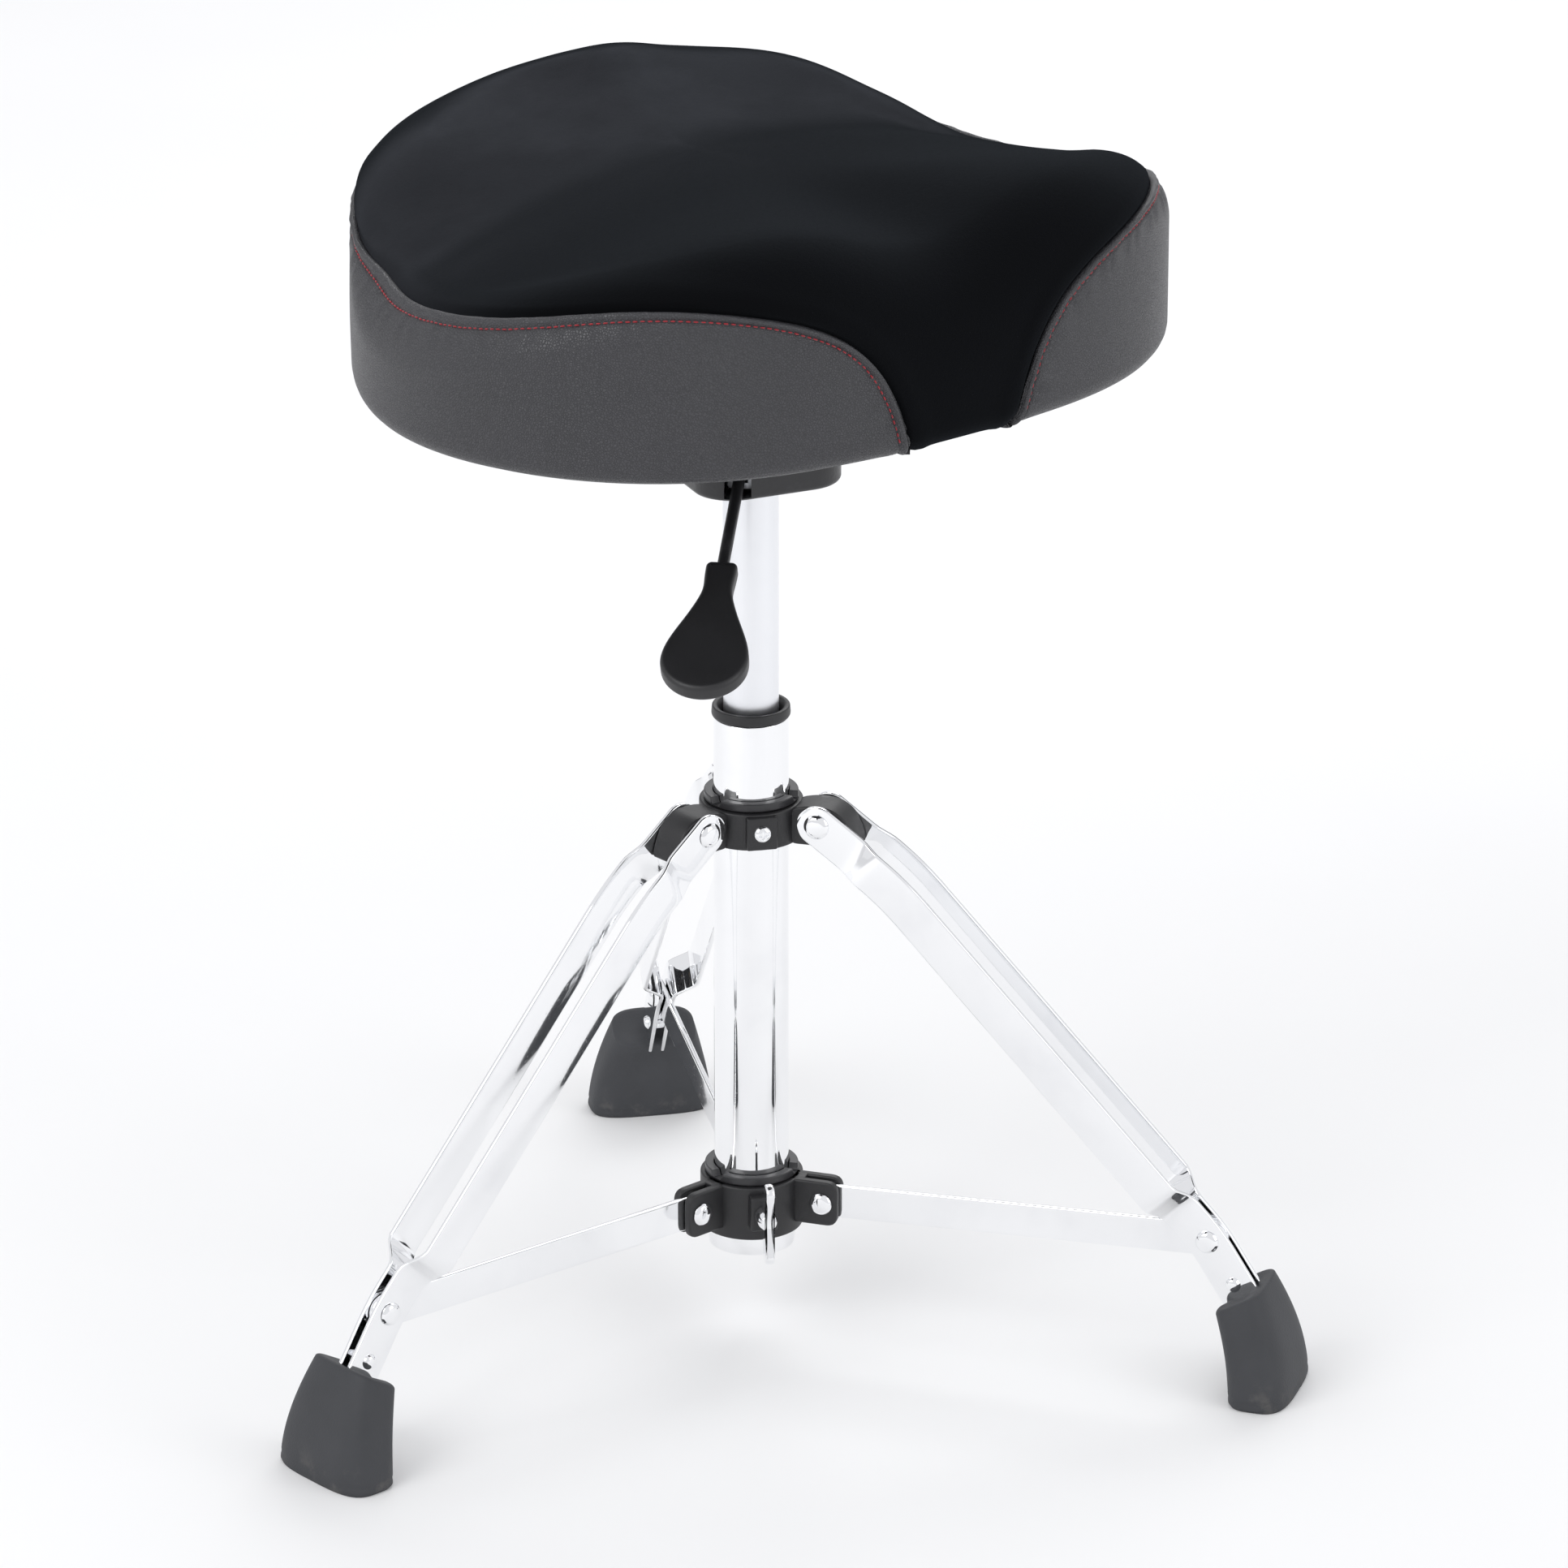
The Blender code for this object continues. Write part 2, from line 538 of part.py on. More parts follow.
def make_cylinder(lift):
    inner = CYLINDER - CYLINDER_WALL
    valve = 0.0024
    profile = [(CYLINDER - 0.0014, CYLINDER_TOP), (CYLINDER, HOUSING_Z), (CYLINDER, CYLINDER_FOOT),
               (inner, CYLINDER_FOOT), (inner, CYLINDER_TOP - 0.007), (valve + GAP, CYLINDER_TOP - 0.007),
               (valve + GAP, CYLINDER_TOP)]
    shade(turned("gas_cylinder", profile, "satin_steel", lift))
    ring("rod_seal", ROD + RUN, inner - GAP, CYLINDER_FOOT + 0.0005, CYLINDER_FOOT + 0.015, "nylon", lift,
         24)
    pin = drum("valve_pin", valve, CYLINDER_TOP - 0.018, VALVE_TOP, "chrome", lift, 14)
    shade(pin)


def rounded_square(half, corner, steps=5):
    points = []
    for k, (sx, sy) in enumerate(((1, 1), (-1, 1), (-1, -1), (1, -1))):
        points += arc((sx * (half - corner), sy * (half - corner)), corner, 90 * k, 90 * k + 90, steps)
    return points


def cup(name, outer, inner, bottom, top, floor, look, holder):
    """An open box: a lofted wall between two outlines of equal length, closed below by its floor."""
    n = len(outer)
    levels = [(outer, bottom), (outer, top), (inner, top), (inner, bottom + floor)]
    points = [(x, y, z) for outline, z in levels for x, y in outline]
    faces = [tuple(range(n - 1, -1, -1)), tuple(range(3 * n, 4 * n))]
    for k in range(3):
        for i in range(n):
            j = (i + 1) % n
            faces.append((k * n + i, k * n + j, (k + 1) * n + j, (k + 1) * n + i))
    return mesh_object(name, points, [], faces, look, holder)


def make_housing(lift, lever_frame):
    """The release housing, its cylinder socket with the lever's ears, and the seat's mounting plate."""
    frame = empty("housing_frame", lift, turn=radians(-18))
    wall, floor = 0.0025, 0.003
    top = PLATE_TOP - PLATE_THICK - GAP
    housing = cup("release_housing", rounded_square(HOUSING_HALF, 0.020),
                  rounded_square(HOUSING_HALF - wall, 0.0175), HOUSING_Z, top, floor, "black_paint", frame)
    sleeve_r = CYLINDER + 0.003
    slot = block("lever_slot", (0.030, -0.0065, HOUSING_Z + 0.0015), (0.055, 0.0065, LEVER_Z - 0.004),
                 lever_frame)
    hole = drum("socket_hole", sleeve_r + GAP, HOUSING_Z - 0.01, HOUSING_Z + 0.01, None, lift, 32,
                cutter=True)
    cut(housing, hole, slot)
    shade(housing)
    seat = HOUSING_Z + floor + GAP
    stop = CYLINDER - 0.0012 + 2 * GAP
    profile = [(sleeve_r, seat + 0.0155), (sleeve_r, seat + 0.003), (0.034, seat + 0.003), (0.034, seat),
               (sleeve_r, seat), (sleeve_r, HOUSING_Z + 0.0005), (CYLINDER + GAP, HOUSING_Z + 0.0005),
               (stop, CYLINDER_TOP - 0.001), (stop, seat + 0.0155)]
    socket = turned("cylinder_socket", profile, "steel", lift, 24)
    for side, letter in ((1, "a"), (-1, "b")):
        low, high = sorted((side * 0.0036, side * 0.0066))
        joined(socket, block(f"socket_ear_{letter}", (LEVER_PIVOT - 0.0055, low, seat + 0.001),
                             (LEVER_PIVOT + 0.0055, high, LEVER_Z + 0.005), lever_frame))
    pin_at = Vector((LEVER_PIVOT, 0, LEVER_Z))
    cut(socket, cross_hole("lever_pin_hole", pin_at, lever_frame, 0.0018 + GAP, 0.012))
    shade(socket)
    pin = drum("lever_pin", 0.0018, -0.0078, 0.0078, "chrome", lever_frame, 14, at=pin_at)
    pin.rotation_euler = (pi / 2, 0, 0)
    corners = [(-PLATE_X, -PLATE_Y), (PLATE_X, -PLATE_Y), (PLATE_X, PLATE_Y), (-PLATE_X, PLATE_Y)]
    return flat("seat_plate", corners, PLATE_THICK, "black_paint", lift, mid=PLATE_TOP - PLATE_THICK / 2)


def make_lever(lever_frame):
    """The release lever: a bent rod over the valve pin, and a flat moulded paddle."""
    pivot = joint("lever_pivot", lever_frame, Vector((LEVER_PIVOT, 0, LEVER_Z)))
    bend = Vector((LEVER_PIVOT + 0.0035, 0, LEVER_Z))
    leave = Vector((HOUSING_HALF + 0.002, 0, HOUSING_Z + LEVER_EXIT))
    fall = radians(LEVER_FALL)
    ahead = Vector((cos(fall), 0, -sin(fall)))
    paddle_start = leave + ahead * 0.058
    curve = bpy.data.curves.new("lever_rod", "CURVE")
    curve.dimensions = "3D"
    curve.bevel_depth = LEVER_ROD
    curve.bevel_resolution = 2
    curve.use_fill_caps = True
    spline = curve.splines.new("POLY")
    route = [Vector((-0.004, 0, LEVER_Z)), bend, leave - ahead * 0.002, leave + ahead * 0.004,
             paddle_start + ahead * 0.020]
    spline.points.add(len(route) - 1)
    for point, place in zip(spline.points, route):
        point.co = (*place, 1)
    rod = as_mesh(curve, "lever_rod", "black_paint", pivot)
    boss = drum("lever_boss", 0.0048, -0.0031, 0.0031, None, lever_frame, 16, cutter=True)
    boss.location = (LEVER_PIVOT, 0, LEVER_Z)
    boss.rotation_euler = (pi / 2, 0, 0)
    joined(rod, boss)
    cut(rod, cross_hole("lever_boss_hole", Vector((LEVER_PIVOT, 0, LEVER_Z)), lever_frame, 0.0018 + GAP,
                        0.012))
    shade(rod)
    length = (LEVER_REACH - paddle_start.x) / cos(fall)
    neck, round_r = 0.0075, 0.0215
    centre = length - round_r
    sweep = 140
    outline = [(0, -neck), (centre * 0.42, -neck * 1.05), (centre * 0.72, -round_r * 0.66)]
    outline += arc((centre, 0), round_r, -sweep + 20, sweep - 20, 14)
    outline += [(x, -y) for x, y in reversed(outline[:3])]
    paddle = flat("lever_paddle", outline, 0.0092, "black_plastic", pivot)
    paddle.location = paddle_start
    paddle.rotation_euler = (0, fall, 0)
    bore = drum("paddle_bore", LEVER_ROD + GAP, -0.004, 0.0205, None, pivot, 14, cutter=True)
    bore.location = paddle_start
    bore.rotation_euler = (0, fall + pi / 2, 0)
    bevel = paddle.modifiers.new("Bevel", "BEVEL")
    bevel.width = 0.0018
    bevel.segments = 2
    bevel.limit_method = "ANGLE"
    cut(paddle, bore)
    shade(paddle)


def as_mesh(curve, name, look, holder):
    """A curve made into a mesh object with welded caps."""
    guide = bpy.data.objects.new(name + "_guide", curve)
    PARTS.objects.link(guide)
    bpy.context.view_layer.update()
    evaluated = guide.evaluated_get(bpy.context.evaluated_depsgraph_get())
    mesh = bpy.data.meshes.new_from_object(evaluated)
    bpy.data.objects.remove(guide, do_unlink=True)
    weld = bmesh.new()
    weld.from_mesh(mesh)
    bmesh.ops.remove_doubles(weld, verts=weld.verts, dist=0.00001)
    weld.to_mesh(mesh)
    weld.free()
    mesh.name = name
    mesh.materials.clear()
    mesh.materials.append(material(look))
    piece = bpy.data.objects.new(name, mesh)
    PARTS.objects.link(piece)
    attach(piece, holder)
    return piece


# ---- seat --------------------------------------------------------------------------------------------
# Cosine series over the turn from the front: the plan radius, and the rim's height before its front dip
OUTLINE = (0.194, 0.0457, -0.0169, -0.0058, -0.0069, 0.0034, -0.0021)
RIM = (0.1063, 0.0007, 0.0295, 0.0079, -0.0031, -0.0024, 0.0032, 0.0003, -0.001)
RIM_DIP = 0.047                       # how much lower the rim is at the very front
SEAM_BLEND = 0.0015                   # how softly the seam is kept under the rim
TOP_ROUND, TOP_DROP = 0.038, 0.034    # the rounded top edge, across and down
SOLE_ROUND = 0.012                    # the rounded bottom edge
CROWN = 0.097                         # height of the seat's middle above its lower rim
TURN_UNDER = 0.045                    # how far the cover reaches in under the board
BOARD_INSET = 0.020
FOAM_GAP = 0.0064                     # between the foam and the faceted covers
FRONT_GAP = radians(8.9)              # half of the velour tongue between the two side panels


def plan_radius(phi):
    return sum(a * cos(k * phi) for k, a in enumerate(OUTLINE))


def plan_scale():
    """Factors that bring the outline to the seat's width and length."""
    turns = [2 * pi * i / 360 for i in range(360)]
    width = 2 * max(plan_radius(a) * sin(a) for a in turns)
    length = plan_radius(0) + plan_radius(pi)
    return SEAT_WIDTH / width, SEAT_LENGTH / length


def rim_height(phi):
    """Height of the seat's edge: a raised back, two front lobes, a low front and low sides."""
    series = sum(a * cos(k * phi) for k, a in enumerate(RIM))
    waist = 0.004 * exp(-((abs(phi) - radians(80)) / radians(13)) ** 2)
    return series + waist - RIM_DIP * exp(-(phi / 0.42) ** 2)


def seam_height(side):
    """Where the side panel ends and the velour begins, from the tongue at the front to the back."""
    if side <= FRONT_GAP:
        return 0.0
    rise = 1 - exp(-((side - FRONT_GAP) / radians(4.9)) ** 0.9)
    lobe = 0.022 * exp(-((side - radians(41)) / radians(24)) ** 2)
    height = rise * (0.069 + lobe + 0.012 * smooth((side - radians(85)) / radians(50)))
    over = (height - rim_height(side) + 0.003) / SEAM_BLEND
    return height - SEAM_BLEND * log(1 + exp(over))


def seat_point(phi, radius_in, height):
    """A point radius_in inside the plan outline, height above the seat's lower rim."""
    radius = plan_radius(phi) - radius_in
    return Vector((STRETCH[0] * radius * sin(phi), -STRETCH[1] * radius * cos(phi), SEAT_Z + height))


def wall_inset(height, rim):
    """How far the side wall stands inside the outline at a height."""
    if height < SOLE_ROUND:
        return SOLE_ROUND - sqrt(SOLE_ROUND ** 2 - (SOLE_ROUND - height) ** 2)
    rise = min(max((height - rim + TOP_DROP) / TOP_DROP, 0.0), 1.0)
    return TOP_ROUND * (1 - sqrt(1 - rise ** 2))


def crown_point(phi, share, lower=0.0, inset=0.0):
    """A point on the crown: share 1 is the top of the rounded edge and 0 the middle."""
    edge = TOP_ROUND + inset
    radius = (plan_radius(phi) - edge) * share
    height = CROWN + (rim_height(phi) - CROWN) * share ** 2 - lower
    return seat_point(phi, plan_radius(phi) - radius, height)


def grid_faces(columns, rows, closed):
    """Quads over a grid stored column by column, facing out where columns run anticlockwise from above."""
    faces = []
    for i in range(columns if closed else columns - 1):
        j = (i + 1) % columns
        faces += [(j * rows + k, j * rows + k + 1, i * rows + k + 1, i * rows + k) for k in range(rows - 1)]
    return faces


def velour_cover(seat):
    """The top cover: from the seam over the rounded edge to the middle, with a tongue down the front."""
    turns = front_dense(52)
    shares = (1.0, 0.72, 0.36)
    points = []
    for phi in turns:
        rim = rim_height(phi)
        low = seam_height(abs(phi) + radians(0.25)) + 2 * GAP
        for k in range(6):
            height = low + (rim - low) * sin(pi / 2 * k / 6)
            points.append(seat_point(phi, wall_inset(height, rim), height))
        points += [crown_point(phi, share) for share in shares]
    rows = 6 + len(shares)
    faces = grid_faces(len(turns), rows, True)
    middle = len(points)
    points.append(Vector((0, 0, SEAT_Z + CROWN)))
    last = rows - 1
    faces += [((i + 1) % len(turns) * rows + last, middle, i * rows + last) for i in range(len(turns))]
    cover = mesh_object("velour_top", points, [], faces, "black_velour", seat)
    shade(thicken(cover, COVER, -1.0), 60)


def front_dense(count):
    """Turns about the seat, closer together near the front where the seam climbs."""
    steps = [(2 * i + 1) / count - 1 for i in range(count)]
    return [pi * (abs(x) ** 1.5) * (1 if x > 0 else -1) for x in steps]


def side_panel(name, side, seat):
    """A vinyl side panel, from its hem under the board up to the seam, and from the tongue to the back."""
    start, end = FRONT_GAP + radians(0.8), pi - radians(0.15)
    columns = 26
    points = []
    for i in range(columns):
        turn = start + (end - start) * (i / (columns - 1)) ** 1.5
        phi = side * turn
        rim = rim_height(phi)
        top = seam_height(turn - radians(0.25)) - 2 * GAP
        low = min(SOLE_ROUND, top * 0.6)
        points.append(seat_point(phi, TURN_UNDER, 0.0))
        points.append(seat_point(phi, SOLE_ROUND, 0.0))
        heights = [low * 0.12, low * 0.45, low] + [low + (top - low) * x for x in (0.5, 0.8, 1.0)]
        points += [seat_point(phi, wall_inset(h, rim), h) for h in heights]
    faces = grid_faces(columns, 8, False)
    if side < 0:
        faces = [tuple(reversed(face)) for face in faces]
    panel = mesh_object(name, points, [], faces, "black_vinyl", seat)
    shade(thicken(panel, COVER, -1.0), 60)


def foam_block(seat):
    """The moulded foam, which fills the cover down to the board."""
    deep = COVER + FOAM_GAP
    floor = BOARD_TOP - SEAT_Z + 0.0022
    turns = [2 * pi * i / 48 for i in range(48)]
    points = []
    for phi in turns:
        phi = phi if phi <= pi else phi - 2 * pi
        rim = rim_height(phi)
        heights = [floor, floor + 0.5 * (rim - TOP_DROP - floor), rim - TOP_DROP, rim - 0.5 * TOP_DROP,
                   rim - 0.13 * TOP_DROP]
        for h in heights:
            points.append(seat_point(phi, wall_inset(h, rim) + deep, h - (deep if h > floor else 0)))
        points += [crown_point(phi, share, deep, deep) for share in (1.0, 0.5)]
    rows = 7
    count = len(turns)
    faces = grid_faces(count, rows, True)
    middle = len(points)
    points.append(Vector((0, 0, SEAT_Z + CROWN - deep)))
    faces += [((i + 1) % count * rows + rows - 1, middle, i * rows + rows - 1) for i in range(count)]
    faces.append(tuple(i * rows for i in reversed(range(count))))
    shade(mesh_object("seat_foam", points, [], faces, "foam", seat), 60)


def plan_outline(inset, count=60):
    points = [seat_point(2 * pi * i / count, inset, 0) for i in range(count)]
    return [(p.x, p.y) for p in points]


def cloth_outline(count=60):
    """The dust cloth stops at the hem of the side panels, and has a tab that meets the tongue."""
    tab = FRONT_GAP - radians(0.4)
    start, around = tab + radians(0.1), 2 * (pi - tab) - radians(0.2)
    turns = [-tab, 0, tab] + [start + around * i / count for i in range(count + 1)]
    insets = [SOLE_ROUND] * 3 + [TURN_UNDER + 0.0015] * (count + 1)
    points = [seat_point(phi, inset, 0) for phi, inset in zip(turns, insets)]
    return [(p.x, p.y) for p in points]


def make_seat(lift, plate):
    turn = radians(SEAT_TURN)
    seat = empty("seat_frame", lift, at=(-SEAT_BACK * sin(turn), SEAT_BACK * cos(turn), 0), turn=turn)
    velour_cover(seat)
    side_panel("side_panel_left", 1, seat)
    side_panel("side_panel_right", -1, seat)
    foam_block(seat)
    board = flat("seat_board", plan_outline(BOARD_INSET), BOARD, "plywood", seat,
                 mid=BOARD_BOTTOM + BOARD / 2)
    cloth = flat("dust_cloth", cloth_outline(), 0.0008, "dust_cloth", seat, mid=SEAT_Z + 0.001)
    cut(cloth, block("plate_window", (-PLATE_X - 0.0005, -PLATE_Y - 0.0005, SEAT_Z - 0.01),
                     (PLATE_X + 0.0005, PLATE_Y + 0.0005, SEAT_Z + 0.01), lift))
    number = 0
    for x in (-BOLT_X, BOLT_X):
        for y in (-BOLT_Y, BOLT_Y):
            number += 1
            at = Vector((x, y, 0))
            cut(plate, drum(f"plate_hole_{number}", BOLT + GAP, PLATE_TOP - 0.01, PLATE_TOP + 0.01, None,
                            lift, 12, at=at, cutter=True))
            cut(board, drum(f"board_hole_{number}", NUT + GAP, BOARD_BOTTOM - 0.01, BOARD_TOP + 0.01, None,
                            lift, 12, at=at, cutter=True))
            seat_fastener(number, at, lift)


def seat_fastener(number, at, lift):
    """A bolt from below, and the flanged nut pressed into the board above it."""
    under = PLATE_TOP - PLATE_THICK - GAP
    bolt = [(0, BOARD_TOP - 0.001), (BOLT, BOARD_TOP - 0.001), (BOLT, under), (0.0055, under),
            (0.0055, under - 0.0028), (0.0038, under - 0.004), (0, under - 0.004)]
    shade(turned(f"seat_bolt_{number}", bolt, "steel", lift, 10, at=at))
    flange = BOARD_TOP + GAP
    nut = [(0.0085, flange + 0.0014), (0.0085, flange), (NUT, flange), (NUT, BOARD_TOP - 0.009),
           (BOLT + GAP, BOARD_TOP - 0.009), (BOLT + GAP, flange + 0.0014)]
    shade(turned(f"tee_nut_{number}", nut, "steel", lift, 10, at=at))


# ---- assembly ----------------------------------------------------------------------------------------
clear_scene()
PARTS = collection("Drum throne")
CUTTERS = collection("Cutters")
STAND = empty("stand", at=(AXIS_X, 0, 0))
STRETCH = plan_scale()


def main():
    slide = empty("lower_hub_slide", STAND)
    swivel = empty("seat_swivel", STAND)
    lift = empty("seat_lift", swivel)
    turns = [radians(a) for a in LEG_ANGLES]
    upper = [empty(f"leg_{i + 1}_frame", STAND, turn=a) for i, a in enumerate(turns)]
    lower = [empty(f"strut_{i + 1}_frame", slide, turn=a) for i, a in enumerate(turns)]
    make_column()
    pivot_holes = [make_leg(i + 1, frame) for i, frame in enumerate(upper)]
    for i, frame in enumerate(lower):
        make_strut(i + 1, frame)
    upper_hub(upper, pivot_holes, empty("lock_screw_frame", STAND, turn=radians(SCREW_ANGLE)))
    lower_hub(lower, slide, empty("wing_screw_frame", slide, turn=radians(SCREW_ANGLE)))
    make_lift_rod(swivel)
    make_cylinder(lift)
    lever_frame = empty("lever_frame", lift, turn=radians(LEVER_ANGLE))
    plate = make_housing(lift, lever_frame)
    make_lever(lever_frame)
    make_seat(lift, plate)


main()
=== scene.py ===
# %% [markdown]
# # A drum throne
#
# The throne is a wide padded seat on a gas lift, carried by a folding three-leg stand. A working model of
# it is already there: every part has its size, its place and its joint. This lesson puts the looks round
# that model, piece by piece. Each piece is a surface worked out with numpy, and each finish is a small
# network of shader nodes. The lesson runs from top to bottom, like a notebook.

# %% Load the working model
import json

import bmesh
import bpy
import numpy as np
from mathutils import Euler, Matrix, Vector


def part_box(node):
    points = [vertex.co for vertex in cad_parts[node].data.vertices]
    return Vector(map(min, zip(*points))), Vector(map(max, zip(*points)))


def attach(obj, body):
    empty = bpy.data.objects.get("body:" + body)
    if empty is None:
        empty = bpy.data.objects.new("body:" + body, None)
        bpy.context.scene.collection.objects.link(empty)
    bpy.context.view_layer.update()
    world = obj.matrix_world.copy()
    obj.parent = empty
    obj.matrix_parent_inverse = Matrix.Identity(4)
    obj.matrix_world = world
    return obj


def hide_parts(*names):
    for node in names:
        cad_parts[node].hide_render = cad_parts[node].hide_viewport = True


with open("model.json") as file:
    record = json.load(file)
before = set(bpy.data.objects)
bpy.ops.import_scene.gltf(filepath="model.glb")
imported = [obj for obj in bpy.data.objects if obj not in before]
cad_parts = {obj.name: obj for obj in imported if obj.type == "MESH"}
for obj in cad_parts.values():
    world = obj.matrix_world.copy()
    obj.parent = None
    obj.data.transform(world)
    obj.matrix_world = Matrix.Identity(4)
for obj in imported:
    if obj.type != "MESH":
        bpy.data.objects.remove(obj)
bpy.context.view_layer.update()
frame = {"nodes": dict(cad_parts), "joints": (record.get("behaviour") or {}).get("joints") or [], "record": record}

# %% [markdown]
# ## Measuring
# A new piece has to sit exactly where the working model has its own, so nothing is placed by eye. The
# joints say where things turn, and the box round a node says how big it is. Both are read here, once,
# into arrays.

# %% Read the joints and the boxes
def joint(name):
    """Where a joint is and which way its axis points."""
    found = next(j for j in frame["joints"] if j["name"] == name)
    return np.array(found["pos_m"]), np.array(found["axis"])


def box(node):
    """Lowest and highest corner of a node."""
    low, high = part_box(node)
    return np.array(low), np.array(high)


def from_axis(point):
    """Distance from the column's axis, and height."""
    return np.hypot(*(point - AXIS)[:2]), point[2]


def plan_angle(name):
    """Plan direction of the radial plane that a hinge works in: its axis lies square to that plane."""
    axis = joint(name)[1]
    return np.arctan2(-axis[0], axis[1])


AXIS = joint("seat_swivel")[0] * (1, 1, 0)
LEGS = [plan_angle(f"leg_{i}_fold") for i in (1, 2, 3)]
LEVER_TURN = plan_angle("lever_lift") + np.pi
SCREW_TURN = np.radians(-120)
TUBE = np.ptp(box("column_tube"), axis=0)[0] / 2
CYLINDER = np.ptp(box("gas_cylinder"), axis=0)[0] / 2
PIVOT = np.array(from_axis(joint("leg_1_fold")[0]))
SWING = np.array(from_axis(joint("strut_1_fold")[0]))
knee_rivets = [np.mean(box("leg_1_knee_rivet_" + side), axis=0) for side in ("left", "right")]
KNEE = np.array(from_axis(np.mean(knee_rivets, 0)))
print("column at", AXIS[:2], "tube radius", round(TUBE, 5), "pivot", PIVOT, "swing", SWING, "knee",
      KNEE.round(4))

# %% [markdown]
# ## The camera
# The throne is looked at from its front left corner, from a little above, through a long lens, which
# keeps the legs from spreading. A long lens far away and a short one nearby frame the same object, but
# only the far one shows the top and the underside edge of the seat as nearly parallel. So it stands four
# metres away.

# %% Place the camera
camera = bpy.data.objects.new("camera", bpy.data.cameras.new("camera"))
bpy.context.scene.collection.objects.link(camera)
camera.location = AXIS + (-2.7424, -3.0896, 1.932)
camera.rotation_euler = Euler(np.radians((90 - 21.51, 0, -41.8)))
camera.data.lens = 202.2
camera.data.shift_x, camera.data.shift_y = 0.0021, -0.0104
bpy.context.scene.camera = camera
print("camera", [round(x, 3) for x in camera.location])

# %% [markdown]
# ## From an array to a mesh
# Nearly every surface below is a grid of points: rows one way, columns the other. Numbering the grid
# gives its faces without a loop, because each face takes a point, its two neighbours and the one across.
# Points that fall together, as at a pole, are merged afterwards. On a closed shell Blender then works out
# which side is outside. An open sheet keeps the side that its grid gives it.

# %% Grid helpers
MERGE = 2e-6


def quads(rows, columns, around=False, along=False):
    """Corner numbers of a grid's faces. around joins the last column to the first, along the last
    row."""
    row = np.arange(rows if along else rows - 1)[:, None]
    column = np.arange(columns if around else columns - 1)[None, :]
    below, beside = (row + 1) % rows, (column + 1) % columns
    corners = np.broadcast_arrays(row * columns + column, row * columns + beside,
                                  below * columns + beside, below * columns + column)
    return np.stack(corners, -1).reshape(-1, 4)


def shell(grid, around=True, along=False, capped=False):
    """Points and faces of one grid. capped closes its first and last row with a flat many-sided face."""
    rows, columns = grid.shape[:2]
    faces = quads(rows, columns, around, along).tolist()
    if capped:
        faces += [list(range(columns)), list(range(rows * columns - columns, rows * columns))]
    return grid.reshape(-1, 3), faces


def together(*shells):
    """Several shells as the points and faces of one mesh."""
    starts = np.cumsum([0] + [len(points) for points, _ in shells])
    faces = [[c + start for c in face] for (_, some),
             start in zip(shells, starts.tolist()) for face in some]
    return np.concatenate([points for points, _ in shells]), faces


def piece(name, body, slot, points, faces, closed=True, sharp=38, replaces=None):
    """A named mesh object that rides on a body, wears a finish and stands for the node it replaces."""
    mesh = bpy.data.meshes.new(name)
    mesh.from_pydata(points.tolist(), [], faces)
    work = bmesh.new()
    work.from_mesh(mesh)
    bmesh.ops.remove_doubles(work, verts=work.verts, dist=MERGE)
    if closed:
        bmesh.ops.recalc_face_normals(work, faces=work.faces)
    work.to_mesh(mesh)
    work.free()
    mesh.shade_smooth()
    mesh.set_sharp_from_angle(angle=np.radians(sharp))
    mesh.materials.append(FINISHES[slot]())
    made = bpy.data.objects.new(name, mesh)
    bpy.context.scene.collection.objects.link(made)
    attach(made, body)
    slot if slot in SLOTS else SLOT_OF[slot]
    if replaces is None and name.removesuffix(FINE) in frame["nodes"]:
        replaces = (name.removesuffix(FINE),)
    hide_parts(*(replaces or ()))
    return made


FINE = "_fine"
SLOTS = {m["slot"] for m in frame["record"]["materials"]}
SLOT_OF = {"red_thread": "black_vinyl", "staple": "steel"}
FINISHES = {}

# %% [markdown]
# ## Lines that are carried and turned
# A rod, a plate and a tube are the same idea: a small section carried along a path. A screw head, a
# collar and a cap are a profile turned about an axis. Machined and moulded parts never have razor edges,
# and it is the rounded edge that catches the light, so profiles pass through one function that rounds
# their corners.

# %% Profile helpers
def eased(line, radius, steps=4, ring=False):
    """Rounds a line's corners. Each corner becomes a curve (1-t)^2 a + 2t(1-t) corner + t^2 b, where a
    and b lie radius away from it towards its neighbours, or 45 % of the way there if that is nearer."""
    p = np.array(line, float)
    before, after = np.roll(p, 1, 0) - p, np.roll(p, -1, 0) - p
    lengths = [np.maximum(np.linalg.norm(v, axis=1), 1e-9) for v in (before, after)]
    reach = [np.minimum(radius, 0.45 * length) / length for length in lengths]
    a, b = p + before * reach[0][:, None], p + after * reach[1][:, None]
    t = np.linspace(0, 1, steps + 1)[None, :, None]
    curve = (1 - t) ** 2 * a[:, None] + 2 * t * (1 - t) * p[:, None] + t ** 2 * b[:, None]
    bent = curve.reshape(-1, p.shape[1])
    return bent if ring else np.concatenate([p[:1], bent[steps + 1:-steps - 1], p[-1:]])


def turned(profile, count=72):
    """A profile of (radius, height) turned about the Z axis: (r cos t, r sin t, h)."""
    turn = np.linspace(0, 2 * np.pi, count, endpoint=False)
    r, h = np.array(profile, float).T
    return np.stack([np.outer(r, np.cos(turn)), np.outer(r, np.sin(turn)), np.outer(h, np.ones(count))],
                    -1)


def arc(centre, radius, start, end, count=12):
    """Points on a circle, from one angle in degrees to another."""
    turn = np.radians(np.linspace(start, end, count))
    return np.array(centre) + radius * np.stack([np.cos(turn), np.sin(turn)], -1)


